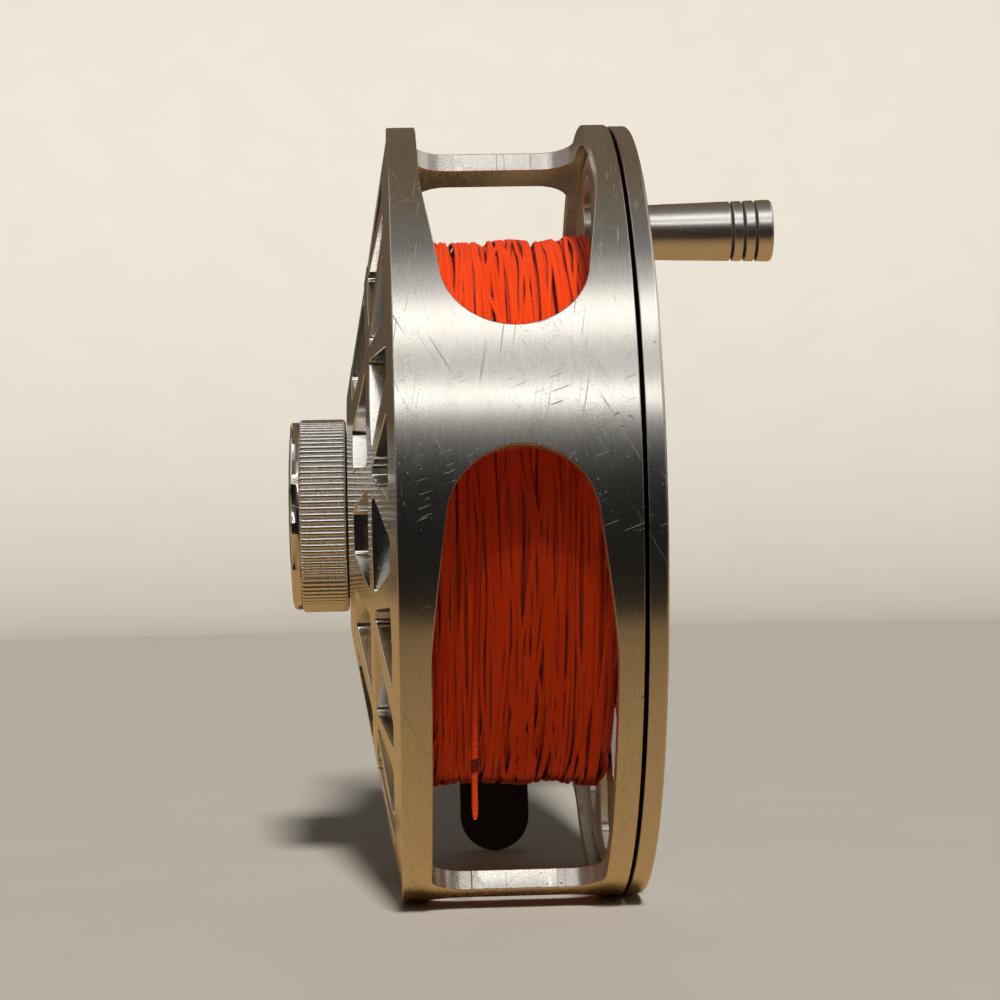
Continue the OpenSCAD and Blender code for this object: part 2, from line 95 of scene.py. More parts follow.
class Shell:
    """Patches of one mesh, with a normal at each of their points; points that meet are welded."""

    def __init__(self):
        self.P, self.N, self.F, self.U, self.n = [], [], [], [], 0

    def add(self, P, N, F, U=None):
        P, N = np.asarray(P, float).reshape(-1, 3), np.asarray(N, float).reshape(-1, 3)
        N = N / np.maximum(np.linalg.norm(N, axis=1, keepdims=True), 1e-12)
        F = np.asarray(F, np.int64)
        if F.shape[1] == 3:
            F = np.hstack([F, F[:, 2:3]])
        a, b, c, d = (P[F[:, k]] for k in range(4))
        g = np.cross(c - a, d - b)
        g = np.where(np.linalg.norm(g, axis=1, keepdims=True) > 1e-12, g, np.cross(b - a, c - a))
        back = (g * N[F].mean(1)).sum(1) < 0
        F[back] = F[back][:, [0, 3, 2, 1]]
        self.P.append(P)
        self.N.append(N)
        self.F.append(F + self.n)
        self.U.append(np.zeros((len(P), 2)) if U is None else np.asarray(U, float).reshape(-1, 2))
        self.n += len(P)

    def grid(self, P, N, close_u=False, close_v=False, U=None):
        nu, nv = P.shape[:2]
        i = np.arange(nu if close_u else nu - 1)
        j = np.arange(nv if close_v else nv - 1)
        I, J = np.meshgrid(i, j, indexing="ij")
        I2, J2 = (I + 1) % nu, (J + 1) % nv
        F = np.stack([I * nv + J, I2 * nv + J, I2 * nv + J2, I * nv + J2], -1).reshape(-1, 4)
        self.add(P.reshape(-1, 3), N.reshape(-1, 3), F, U)

    def build(self, name, body, mat, uv=False, place=True):
        P, N, F, U = (np.concatenate(x) for x in (self.P, self.N, self.F, self.U))
        key = np.round(P * 2000).astype(np.int64)
        _, first, inv = np.unique(key, axis=0, return_index=True, return_inverse=True)
        inv = inv.reshape(-1)
        W = P[first]
        V = inv[F]
        # a quad whose corners were welded becomes a triangle or goes
        keep, size, loops, lnorm, luv = [], [], [], [], []
        same = np.stack([V[:, k] == V[:, (k + 1) % 4] for k in range(4)], 1)
        n_same = same.sum(1)
        cross = (V[:, 0] == V[:, 2]) | (V[:, 1] == V[:, 3])
        quad = (n_same == 0) & ~cross
        tri = (n_same == 1) & ~cross
        qi = np.nonzero(quad)[0]
        ti = np.nonzero(tri)[0]
        qcorn = np.tile(np.arange(4), (len(qi), 1))
        drop = same[ti].argmax(1)
        tcorn = np.stack([(drop + k) % 4 for k in (1, 2, 3)], 1) if len(ti) else np.zeros((0, 3), int)
        Fq = F[qi[:, None], qcorn] if len(qi) else np.zeros((0, 4), int)
        Ft = F[ti[:, None], tcorn] if len(ti) else np.zeros((0, 3), int)
        flat = np.concatenate([Fq.reshape(-1), Ft.reshape(-1)])
        totals = np.concatenate([np.full(len(Fq), 4), np.full(len(Ft), 3)]).astype(np.int32)
        starts = np.concatenate([[0], np.cumsum(totals)[:-1]]).astype(np.int32)
        me = bpy.data.meshes.new(name)
        me.vertices.add(len(W))
        me.vertices.foreach_set("co", (row(W) if place else W * 0.001).astype(np.float32).reshape(-1))
        me.loops.add(len(flat))
        me.loops.foreach_set("vertex_index", inv[flat].astype(np.int32))
        me.polygons.add(len(totals))
        me.polygons.foreach_set("loop_start", starts)
        me.polygons.foreach_set("loop_total", totals)
        me.update(calc_edges=True)
        me.polygons.foreach_set("use_smooth", np.ones(len(totals), bool))
        if uv:
            layer = me.uv_layers.new(name="along")
            layer.data.foreach_set("uv", U[flat].astype(np.float32).reshape(-1))
        me.normals_split_custom_set((rown(N) if place else N)[flat].tolist())
        me.update()
        ob = bpy.data.objects.new(name, me)
        scene.collection.objects.link(ob)
        me.materials.append(mat)
        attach(ob, body)
        return ob


def cyl(r, phi, z):
    """Local points from radius, angle in degrees and z."""
    a = np.radians(phi)
    r, a, z = np.broadcast_arrays(r, a, z)
    return np.stack([r * np.cos(a), r * np.sin(a), z], -1)


def cyln(nr, phi, nz):
    return cyl(nr, phi, nz)


def fillet(pts, rad, closed=True, seg=3):
    """Profile points and normals of an outline whose corners are rounded. rad is one radius or one per corner."""
    p = np.asarray(pts, float)
    n = len(p)
    rad = np.broadcast_to(np.asarray(rad, float), (n,))
    area = sum(p[i][0] * p[(i + 1) % n][1] - p[(i + 1) % n][0] * p[i][1] for i in range(n))
    s = 1 if area > 0 else -1

    def nrm(a, b):
        d = (b - a) / np.linalg.norm(b - a)
        return np.array([d[1], -d[0]]) * s

    out, nor = [], []
    for i in range(n):
        if not closed and i in (0, n - 1):
            k = nrm(p[0], p[1]) if i == 0 else nrm(p[n - 2], p[n - 1])
            out.append(p[i])
            nor.append(k)
            continue
        a, b, c = p[(i - 1) % n], p[i], p[(i + 1) % n]
        n1, n2 = nrm(a, b), nrm(b, c)
        cr = (n1[0] * n2[1] - n1[1] * n2[0]) * s
        ang = math.acos(max(-1, min(1, n1 @ n2)))
        if ang < 1e-4:
            continue
        t = min(rad[i] * math.tan(ang / 2), 0.46 * np.linalg.norm(b - a), 0.46 * np.linalg.norm(c - b))
        r = t / math.tan(ang / 2)
        sign = 1 if cr > 0 else -1
        cen = b - sign * r * (n1 + n2) / (1 + n1 @ n2)
        m = max(1, int(round(seg * ang / 1.57)))
        for k in range(m + 1):
            w = math.sin((1 - k / m) * ang) * n1 + math.sin(k / m * ang) * n2
            w = w / np.linalg.norm(w)
            out.append(cen + sign * r * w)
            nor.append(w)
    return np.array(out), np.array(nor)


def flip_if(nor, want):
    """Turns a profile's normals so that the first one points the way given."""
    return nor if nor[0] @ np.asarray(want, float) > 0 else -nor


def lathe(sh, pts, rad=0.1, ang=256, closed=True, centre=(0, 0), seg=3, want=None):
    p, n = fillet(pts, rad, closed, seg)
    if want is not None:
        n = flip_if(n, want)
    a = np.arange(ang) * 360 / ang if np.isscalar(ang) else np.asarray(ang)
    P = cyl(p[None, :, 0], a[:, None], p[None, :, 1]) + np.array([centre[0], centre[1], 0])
    N = cyln(n[None, :, 0], a[:, None], n[None, :, 1])
    sh.grid(P, N, close_u=True, close_v=closed)


def pol(r, a):
    return np.array([r * math.cos(math.radians(a)), r * math.sin(math.radians(a))])


def rounded_loop(p, r, step=0.8, turn_deg=0.0):
    """Closed outline of a convex opening, counter-clockwise, with rounded corners, and its outward normals."""
    p = [np.asarray(q, float) for q in p]
    n = len(p)
    out, nor = [], []

    def nrm(a, b):
        d = (b - a) / np.linalg.norm(b - a)
        return np.array([d[1], -d[0]])

    for i in range(n):
        a, b, c = p[i - 1], p[i], p[(i + 1) % n]
        n1, n2 = nrm(a, b), nrm(b, c)
        q = b - r / (1 + n1 @ n2) * (n1 + n2)
        ang = math.acos(max(-1, min(1, n1 @ n2)))
        m = max(1, int(round(math.degrees(ang) / 14)))
        for k in range(m + 1):
            w = n1 if ang < 1e-6 else (math.sin((1 - k / m) * ang) * n1 + math.sin(k / m * ang) * n2) / math.sin(ang)
            out.append(q + r * w)
            nor.append(w)
        # the straight side up to the next corner
        d = nrm(c, p[(i + 2) % n])
        q2 = c - r / (1 + n2 @ d) * (n2 + d)
        s0, s1 = q + r * n2, q2 + r * n2
        k = int(np.linalg.norm(s1 - s0) / step)
        for j in range(1, k + 1):
            out.append(s0 + (s1 - s0) * j / (k + 1))
            nor.append(n2)
    t = math.radians(turn_deg)
    R = np.array([[math.cos(t), -math.sin(t)], [math.sin(t), math.cos(t)]])
    return np.array(out) @ R.T, np.array(nor) @ R.T


def circle_loop(c, r, n=28):
    a = np.arange(n) * 2 * math.pi / n
    d = np.stack([np.cos(a), np.sin(a)], 1)
    return np.asarray(c) + r * d, d


def inside(pts, loop):
    x, y = pts[:, 0], pts[:, 1]
    hit = np.zeros(len(pts), bool)
    a, b = loop, np.roll(loop, -1, 0)
    for (x0, y0), (x1, y1) in zip(a, b):
        c = (y0 > y) != (y1 > y)
        if y1 != y0:
            hit ^= c & (x < (x1 - x0) * (y - y0) / (y1 - y0) + x0)
    return hit


def sheet_with_holes(sh, zf, nf, r0, a0, r1, a1, loops, grid=1.5):
    """A surface of revolution between radii r0 and r1, with openings, triangulated in plan."""
    ring0 = cyl(r0, np.asarray(a0), 0)[:, :2]
    ring1 = cyl(r1, np.asarray(a1), 0)[:, :2]
    all_loops = [ring0, ring1] + loops
    V = np.concatenate(all_loops)
    E, base = [], 0
    for lp in all_loops:
        k = len(lp)
        E += [(base + i, base + (i + 1) % k) for i in range(k)]
        base += k
    free = []
    for r in np.arange(r0 + grid, r1 - grid * 0.5, grid):
        k = max(12, int(2 * math.pi * r / grid))
        free.append(cyl(r, np.arange(k) * 360 / k + r * 40, 0)[:, :2])
    free = np.concatenate(free)
    d = np.full(len(free), 1e9)
    for lp in all_loops:
        d = np.minimum(d, np.sqrt(((free[:, None] - lp[None]) ** 2).sum(-1)).min(1))
    free = free[d > grid * 0.45]
    for lp in loops:
        free = free[~inside(free, lp)]
    V = np.concatenate([V, free])
    v, _, f, *_ = delaunay_2d_cdt([Vector(q) for q in V], E, [], 0, 1e-7)
    v = np.array([tuple(q) for q in v])
    f = np.array([t for t in f if len(t) == 3])
    c = v[f].mean(1)
    rc = np.hypot(c[:, 0], c[:, 1])
    ok = (rc < r1) & ~inside(c, ring0) & inside(c, ring1)
    for lp in loops:
        ok &= ~inside(c, lp)
    f = f[ok]
    rr = np.hypot(v[:, 0], v[:, 1])
    ph = np.degrees(np.arctan2(v[:, 1], v[:, 0]))
    nr, nz = nf
    sh.add(np.column_stack([v, zf(rr)]), cyln(nr, ph, nz), f)


def hole_wall(sh, loop, nor, zb, nb, zt, nt, b, seg=3):
    """Wall of an opening from surface zb to surface zt, rounded by b at both. zb and zt give z from radius; nb and nt are the (radial, z) normals there."""
    rows_p, rows_n = [], []
    wall = np.column_stack([-nor, np.zeros(len(nor))])

    def surface_n(q, n2):
        ph = np.degrees(np.arctan2(q[:, 1], q[:, 0]))
        return cyln(n2[0], ph, n2[1])

    for k in range(seg + 1):
        t = k / seg * math.pi / 2
        q = loop + nor * b * (1 - math.sin(t))
        z = zb(np.hypot(q[:, 0], q[:, 1])) + b * (1 - math.cos(t))
        rows_p.append(np.column_stack([q, z]))
        rows_n.append(math.cos(t) * surface_n(q, nb) + math.sin(t) * wall)
    for k in range(seg, -1, -1):
        t = k / seg * math.pi / 2
        q = loop + nor * b * (1 - math.sin(t))
        z = zt(np.hypot(q[:, 0], q[:, 1])) - b * (1 - math.cos(t))
        rows_p.append(np.column_stack([q, z]))
        rows_n.append(math.cos(t) * surface_n(q, nt) + math.sin(t) * wall)
    sh.grid(np.array(rows_p), np.array(rows_n), close_v=True)


def ported_plate(sh, zb, nb, zt, nt, b, bot, top, loops):
    """A pierced plate. bot and top are (r0, angles0, r1, angles1) of the two faces."""
    for lp, nr in loops:
        hole_wall(sh, lp, nr, zb, nb, zt, nt, b)
    off = [lp + nr * b for lp, nr in loops]
    sheet_with_holes(sh, zb, nb, *bot, off)
    sheet_with_holes(sh, zt, nt, *top, off)


# ---- materials --------------------------------------------------------------------------


class Tree:
    def __init__(self, name):
        self.mat = bpy.data.materials.new(name)
        self.mat.use_nodes = True
        self.nt = self.mat.node_tree
        self.bsdf = self.nt.nodes["Principled BSDF"]

    def node(self, kind, **sets):
        n = self.nt.nodes.new(kind)
        for k, v in sets.items():
            if k == "inputs":
                for name, val in v.items():
                    if hasattr(val, "is_linked") or isinstance(val, bpy.types.NodeSocket):
                        self.nt.links.new(val, n.inputs[name])
                    else:
                        n.inputs[name].default_value = val
            else:
                setattr(n, k, v)
        return n

    def math(self, op, a, b=None, c=None, clamp=False):
        n = self.nt.nodes.new("ShaderNodeMath")
        n.operation, n.use_clamp = op, clamp
        for i, x in enumerate((a, b, c)):
            if x is None:
                continue
            if isinstance(x, bpy.types.NodeSocket):
                self.nt.links.new(x, n.inputs[i])
            else:
                n.inputs[i].default_value = x
        return n.outputs[0]

    def ramp(self, x, lo, hi, a=0.0, b=1.0):
        n = self.node("ShaderNodeMapRange", interpolation_type="SMOOTHSTEP")
        self.nt.links.new(x, n.inputs["Value"])
        for k, v in (("From Min", lo), ("From Max", hi), ("To Min", a), ("To Max", b)):
            n.inputs[k].default_value = v
        return n.outputs["Result"]

    def noise(self, vec, scale, detail=2.0, w=None, rough=0.5):
        n = self.node("ShaderNodeTexNoise", noise_dimensions="4D" if w is not None else "3D")
        n.inputs["Scale"].default_value = scale
        n.inputs["Detail"].default_value = detail
        n.inputs["Roughness"].default_value = rough
        self.nt.links.new(vec, n.inputs["Vector"])
        if w is not None:
            self.nt.links.new(w, n.inputs["W"])
        return n.outputs["Fac"]

    def vec(self, x, y, z):
        n = self.nt.nodes.new("ShaderNodeCombineXYZ")
        for i, v in enumerate((x, y, z)):
            if isinstance(v, bpy.types.NodeSocket):
                self.nt.links.new(v, n.inputs[i])
            else:
                n.inputs[i].default_value = v
        return n.outputs[0]

    def mix(self, fac, a, b):
        n = self.node("ShaderNodeMix", data_type="RGBA")
        for key, val in ((0, fac), (6, a), (7, b)):
            if isinstance(val, bpy.types.NodeSocket):
                self.nt.links.new(val, n.inputs[key])
            else:
                n.inputs[key].default_value = val
        return n.outputs[2]

    def set(self, **kw):
        for k, v in kw.items():
            s = self.bsdf.inputs[k.replace("_", " ")]
            if isinstance(v, bpy.types.NodeSocket):
                self.nt.links.new(v, s)
            else:
                s.default_value = v

    def axes(self, cy=-Y_MID, cz=R_F):
        """Coordinates round an axis along X through (cy, cz) mm: x and r in mm, and the cosine and sine of the angle."""
        tc = self.nt.nodes.new("ShaderNodeTexCoord")
        sp = self.nt.nodes.new("ShaderNodeSeparateXYZ")
        self.nt.links.new(tc.outputs["Object"], sp.inputs[0])
        x = self.math("MULTIPLY", sp.outputs[0], 1000)
        y = self.math("SUBTRACT", self.math("MULTIPLY", sp.outputs[1], 1000), cy)
        z = self.math("SUBTRACT", self.math("MULTIPLY", sp.outputs[2], 1000), cz)
        r = self.math("SQRT", self.math("ADD", self.math("MULTIPLY", y, y), self.math("MULTIPLY", z, z)))
        r = self.math("MAXIMUM", r, 0.01)
        return x, r, self.math("DIVIDE", y, r), self.math("DIVIDE", z, r), tc.outputs["Object"]


def metal(name, base, rough, cy=-Y_MID, cz=R_F, grain=5.0, streak=14.0, aniso=0.6, wear=1.0, grain_bump=0.03,
          rough_var=0.08, tangent="X", polish=None, gap_shade=None):
    """Turned and brushed metal: fine rings round the axis, scratches, small pits and smudges.
    polish gives the part of it that has a finer finish: x below the first number and r below the second, in mm.
    gap_shade gives the narrow gap under the rim that is painted near black as shade: x from the first number to the
    second and r from the third to the fourth."""
    t = Tree(name)
    x, r, c, s, obj = t.axes(cy, cz)
    k = grain
    xv = t.math("MULTIPLY", x, k)
    rv = t.math("MULTIPLY", r, k)
    fine = t.noise(t.vec(xv, rv, t.math("MULTIPLY", c, streak)), 1.0, 3.0, t.math("MULTIPLY", s, streak), 0.65)
    wide = t.noise(t.vec(t.math("MULTIPLY", x, 0.35), t.math("MULTIPLY", r, 0.35), t.math("MULTIPLY", c, 2.5)), 1.0, 2.0,
                   t.math("MULTIPLY", s, 2.5))
    smudge = t.noise(obj, 90.0, 4.0)
    grit = t.noise(obj, 5200.0, 2.0)
    # scratches: long thin dashes, in three directions of the unrolled surface
    marks = None
    for i, (ca, sa) in enumerate(((0.94, 0.34), (-0.5, 0.87), (0.17, 0.98))):
        u = t.math("ADD", t.math("MULTIPLY", x, ca), t.math("MULTIPLY", t.math("MULTIPLY", c, 47.0), sa))
        v = t.math("SUBTRACT", t.math("MULTIPLY", x, sa), t.math("MULTIPLY", t.math("MULTIPLY", s, 47.0), ca))
        n1 = t.noise(t.vec(t.math("MULTIPLY", u, 0.28), t.math("MULTIPLY", v, 5.5), 3.1 + 7.3 * i), 1.0, 1.5)
        g = t.noise(t.vec(t.math("MULTIPLY", u, 0.16), t.math("MULTIPLY", v, 0.16), 9.7 * i), 1.0, 1.0)
        m1 = t.math("MULTIPLY", t.ramp(n1, 0.690, 0.720), t.ramp(g, 0.47, 0.58))
        marks = m1 if marks is None else t.math("MAXIMUM", marks, m1)
    # pits: small spots in loose clusters
    vor = t.node("ShaderNodeTexVoronoi", feature="F1")
    t.nt.links.new(obj, vor.inputs["Vector"])
    vor.inputs["Scale"].default_value = 1150.0
    cluster = t.noise(obj, 260.0, 3.0)
    spot = t.math("MULTIPLY", t.ramp(vor.outputs["Distance"], 0.23, 0.13), t.ramp(cluster, 0.61, 0.70))
    # specks: smaller and more even
    vor2 = t.node("ShaderNodeTexVoronoi", feature="F1")
    t.nt.links.new(obj, vor2.inputs["Vector"])
    vor2.inputs["Scale"].default_value = 1700.0
    speck = t.math("MULTIPLY", t.ramp(vor2.outputs["Distance"], 0.17, 0.09), t.ramp(t.noise(obj, 140.0, 3.0), 0.48, 0.60))
    damage = t.math("MULTIPLY", t.math("MAXIMUM", marks, t.math("MAXIMUM", spot, speck)), wear, clamp=True)
    rgh0 = t.math("ADD", rough, 0.0)
    if polish:
        fine_part = t.math("MULTIPLY", t.ramp(x, polish[0] + 0.1, polish[0] - 0.1), t.ramp(r, polish[1] + 0.1, polish[1] - 0.1))
        rgh0 = t.math("ADD", rough, t.math("MULTIPLY", fine_part, polish[2] - rough))
        damage = t.math("MULTIPLY", damage, t.math("SUBTRACT", 1.0, t.math("MULTIPLY", fine_part, 0.8)))
    rgh = t.math("ADD", rgh0, t.math("MULTIPLY", t.math("SUBTRACT", fine, 0.5), rough_var * 0.7))
    rgh = t.math("ADD", rgh, t.math("MULTIPLY", t.math("SUBTRACT", grit, 0.5), rough_var * 1.6))
    rgh = t.math("ADD", rgh, t.math("MULTIPLY", t.math("SUBTRACT", wide, 0.5), rough_var * 0.8))
    rgh = t.math("ADD", rgh, t.math("MULTIPLY", t.math("SUBTRACT", smudge, 0.5), rough_var))
    rgh = t.math("ADD", rgh, t.math("MULTIPLY", damage, 0.55), clamp=True)
    dark = tuple(v * 0.90 for v in base) + (1,)
    light = tuple(min(1, v * 1.03) for v in base) + (1,)
    col = t.mix(t.ramp(fine, 0.25, 0.75), dark, light)
    col = t.mix(t.math("MULTIPLY", spot, 0.6 * wear, clamp=True), col, tuple(v * 0.35 for v in base) + (1,))
    # painted shade: the narrow gap under the rim is coloured near black, standing in for the shade in it, and made
    # rougher
    if gap_shade:
        gap_shade_mask = t.math("MULTIPLY", t.ramp(x, gap_shade[0] - 0.04, gap_shade[0] + 0.04), t.ramp(x, gap_shade[1] + 0.04, gap_shade[1] - 0.04))
        gap_shade_mask = t.math("MULTIPLY", gap_shade_mask, t.math("MULTIPLY", t.ramp(r, gap_shade[2], gap_shade[2] + 0.2), t.ramp(r, gap_shade[3] + 0.1, gap_shade[3] - 0.1)))
        col = t.mix(gap_shade_mask, col, (0.018, 0.016, 0.014, 1))
        rgh = t.math("ADD", rgh, t.math("MULTIPLY", gap_shade_mask, 0.3), clamp=True)
    h = t.math("ADD", t.math("MULTIPLY", fine, grain_bump), t.math("MULTIPLY", damage, -0.25))
    h = t.math("ADD", h, t.math("MULTIPLY", grit, grain_bump * 2.5))
    bump = t.node("ShaderNodeBump")
    bump.inputs["Strength"].default_value = 0.35
    bump.inputs["Distance"].default_value = 0.0001
    t.nt.links.new(h, bump.inputs["Height"])
    # the grooves run round the axis, so they spread a highlight across them, along X
    t.set(Base_Color=col, Metallic=1.0, Roughness=rgh, Normal=bump.outputs[0], Anisotropic=aniso, Anisotropic_Rotation=0.25)
    if aniso and tangent:
        tan = t.node("ShaderNodeTangent", direction_type="RADIAL", axis=tangent)
        t.set(Tangent=tan.outputs[0])
    return t.mat


def line_material():
    t = Tree("braided_line_fibre")
    uv = t.node("ShaderNodeUVMap", uv_map="along")
    sp = t.node("ShaderNodeSeparateXYZ")
    t.nt.links.new(uv.outputs[0], sp.inputs[0])
    u, v = sp.outputs[0], sp.outputs[1]
    # u runs along the strand in mm, v once round it: two crossing sets of braid plaits
    a = t.math("SINE", t.math("ADD", t.math("MULTIPLY", u, 7.5), t.math("MULTIPLY", v, 12.566)))
    b = t.math("SINE", t.math("SUBTRACT", t.math("MULTIPLY", u, 7.5), t.math("MULTIPLY", v, 12.566)))
    plait = t.math("MAXIMUM", a, b)
    fuzz = t.noise(t.vec(t.math("MULTIPLY", u, 2.2), t.math("MULTIPLY", v, 5.0), 0.0), 1.0, 4.0)
    turns = t.noise(t.vec(t.math("MULTIPLY", u, 0.035), 0.0, 0.0), 1.0, 3.0)
    geo = t.node("ShaderNodeNewGeometry")
    blot = t.noise(geo.outputs["Position"], 320.0, 3.0)
    col = t.mix(t.ramp(turns, 0.3, 0.7), (0.86, 0.050, 0.004, 1), (0.98, 0.085, 0.008, 1))
    # painted shade: where the plait pattern is low, in the hollows of its bump, the colour is darkened
    col = t.mix(t.math("MULTIPLY", t.ramp(plait, -0.2, 0.9), 0.45), t.mix(0.35, col, (0.42, 0.02, 0.003, 1)), col)
    col = t.mix(t.math("MULTIPLY", t.ramp(blot, 0.45, 0.75), 0.25), col, (0.66, 0.035, 0.004, 1))
    # the flanks of a strand are darkened as painted shade from their neighbours; v = 0.5 is its outer side
    flank_shade = t.ramp(t.math("ABSOLUTE", t.math("SUBTRACT", v, 0.5)), 0.09, 0.21)
    col = t.mix(t.math("MULTIPLY", flank_shade, 0.50), col, (0.20, 0.009, 0.002, 1))
    h = t.math("ADD", t.math("MULTIPLY", plait, 0.5), t.math("MULTIPLY", fuzz, 0.5))
    bump = t.node("ShaderNodeBump")
    bump.inputs["Strength"].default_value = 0.55
    bump.inputs["Distance"].default_value = 0.00008
    t.nt.links.new(h, bump.inputs["Height"])
    rgh = t.math("ADD", 0.52, t.math("MULTIPLY", fuzz, 0.25), clamp=True)
    t.set(Base_Color=col, Roughness=rgh, Normal=bump.outputs[0])
    t.bsdf.inputs["Sheen Weight"].default_value = 0.06
    t.bsdf.inputs["Sheen Roughness"].default_value = 0.4
    t.bsdf.inputs["Specular IOR Level"].default_value = 0.2
    return t.mat


def plain_stuff(name, base, rough, metallic=0.0, scale=900.0, amount=0.15, bump_d=0.00003):
    t = Tree(name)
    tc = t.node("ShaderNodeTexCoord")
    n1 = t.noise(tc.outputs["Object"], scale, 4.0)
    n2 = t.noise(tc.outputs["Object"], scale * 0.12, 3.0)
    lo = tuple(v * (1 - amount) for v in base) + (1,)
    hi = tuple(min(1, v * (1 + amount)) for v in base) + (1,)
    bump = t.node("ShaderNodeBump")
    bump.inputs["Strength"].default_value = 0.4
    bump.inputs["Distance"].default_value = bump_d
    t.nt.links.new(n1, bump.inputs["Height"])
    t.set(Base_Color=t.mix(n2, lo, hi), Metallic=metallic, Normal=bump.outputs[0],
          Roughness=t.math("ADD", rough - 0.06, t.math("MULTIPLY", n1, 0.12), clamp=True))
    return t.mat


# the last argument of the frame's and the spool's metal is the gap under the rim, painted near black as shade
M_FRAME = metal("frame_satin", (0.80, 0.785, 0.755), 0.285, aniso=0.72, grain=4.6, streak=24.0, wear=1.0,
                polish=(2.6 - X_MID, 46.0, 0.14), gap_shade=(26.47 - X_MID, 26.7 - X_MID, 44.9, 46.95))
M_SPOOL = metal("spool_satin", (0.80, 0.785, 0.76), 0.30, aniso=0.72, grain=5.0, streak=24.0, wear=0.6,
                gap_shade=(26.2 - X_MID, 27.10 - X_MID, 44.1, 46.95))
M_KNOB = metal("knob_polish", (0.84, 0.82, 0.78), 0.22, aniso=0.0, grain=3.0, streak=6.0, wear=0.12, rough_var=0.03,
               grain_bump=0.008)
M_MIRROR = metal("mirror_polish", (0.86, 0.84, 0.80), 0.09, aniso=0.0, grain=2.0, streak=4.0, wear=0.35, rough_var=0.04)
hx, hy = 38.2 * math.cos(math.radians(HANDLE_PHI)), 38.2 * math.sin(math.radians(HANDLE_PHI))
M_HANDLE = metal("handle_polish", (0.82, 0.805, 0.78), 0.33, cy=hx - Y_MID, cz=hy + R_F, aniso=0.5, grain=7.0,
                 streak=2.0, wear=0.3)
M_STEEL = metal("steel_turned", (0.62, 0.62, 0.61), 0.30, aniso=0.3, grain=5.0, streak=8.0, wear=0.3)
M_BRASS = metal("brass_turned", (0.78, 0.57, 0.25), 0.28, aniso=0.3, grain=5.0, streak=8.0, wear=0.3)
M_BLACK = plain_stuff("black_anodise", (0.022, 0.022, 0.024), 0.42, metallic=0.6, amount=0.3)
M_RUBBER = plain_stuff("rubber_moulded", (0.02, 0.02, 0.021), 0.7)
M_DISC = plain_stuff("friction_weave", (0.045, 0.045, 0.05), 0.6, amount=0.4, scale=1500)
M_LINE = line_material()
# the core under the top turns gets the line's colour darkened: painted shade of the deeper layers seen between the
# strands
M_LINE_CORE_PAINTED_SHADE = plain_stuff("line_core_shade", (0.45, 0.024, 0.004), 0.8, amount=0.35, scale=700)
M_WHIP = plain_stuff("whipping_thread", (0.012, 0.011, 0.011), 0.7, amount=0.4, scale=2500)

SLOT_MATS = {"polished_aluminium": M_FRAME, "satin_aluminium": M_SPOOL, "knob_aluminium": M_KNOB,
             "mirror_aluminium": M_MIRROR, "steel": M_STEEL, "brass": M_BRASS, "rubber": M_RUBBER,
             "black_anodised": M_BLACK, "friction_disc": M_DISC, "braided_line": M_LINE_CORE_PAINTED_SHADE}
slot_of = {s["node"]: s["material_slot"] for s in frame["record"]["subparts"]}
for name, ob in nodes.items():
    mat = SLOT_MATS[slot_of[name]]
    if len(ob.material_slots):
        for ms in ob.material_slots:
            ms.material = mat
    else:
        ob.data.materials.append(mat)
for name in ("handle", "handle_screw", "handle_washer"):
    for ms in nodes[name].material_slots:
        ms.material = M_HANDLE

# ---- free end of the line ------------------------------------------------------------------

END_PTS = np.array([[-32.6, 2.0, 9.6], [-33.2, -1.0, 9.5], [-33.45, -4.0, 9.3], [-33.2, -7.0, 9.1], [-32.5, -10.0, 9.0],
                    [-31.3, -13.0, 8.9], [-29.9, -16.0, 8.8], [-28.3, -19.0, 8.7], [-26.9, -22.0, 8.65],
                    [-25.8, -25.0, 8.6], [-24.9, -28.0, 8.55], [-24.3, -31.0, 8.5], [-24.0, -33.5, 8.5], [-23.9, -35.5, 8.5]])


def smooth_path(p, n):
    """Points evenly along a smooth curve through the given ones."""
    p = np.asarray(p, float)
    q = np.vstack([2 * p[0] - p[1], p, 2 * p[-1] - p[-2]])
    out = []
    for i in range(len(p) - 1):
        a, b, c, d = q[i:i + 4]
        for t in np.arange(0, 1, 1 / 12):
            out.append(0.5 * (2 * b + (c - a) * t + (2 * a - 5 * b + 4 * c - d) * t ** 2 + (3 * b - a - 3 * c + d) * t ** 3))
    out.append(p[-1])
    out = np.array(out)
    s = np.concatenate([[0], np.cumsum(np.linalg.norm(np.diff(out, axis=0), axis=1))])
    w = np.linspace(0, s[-1], n)
    return np.stack([np.interp(w, s, out[:, k]) for k in range(3)], 1), s[-1]


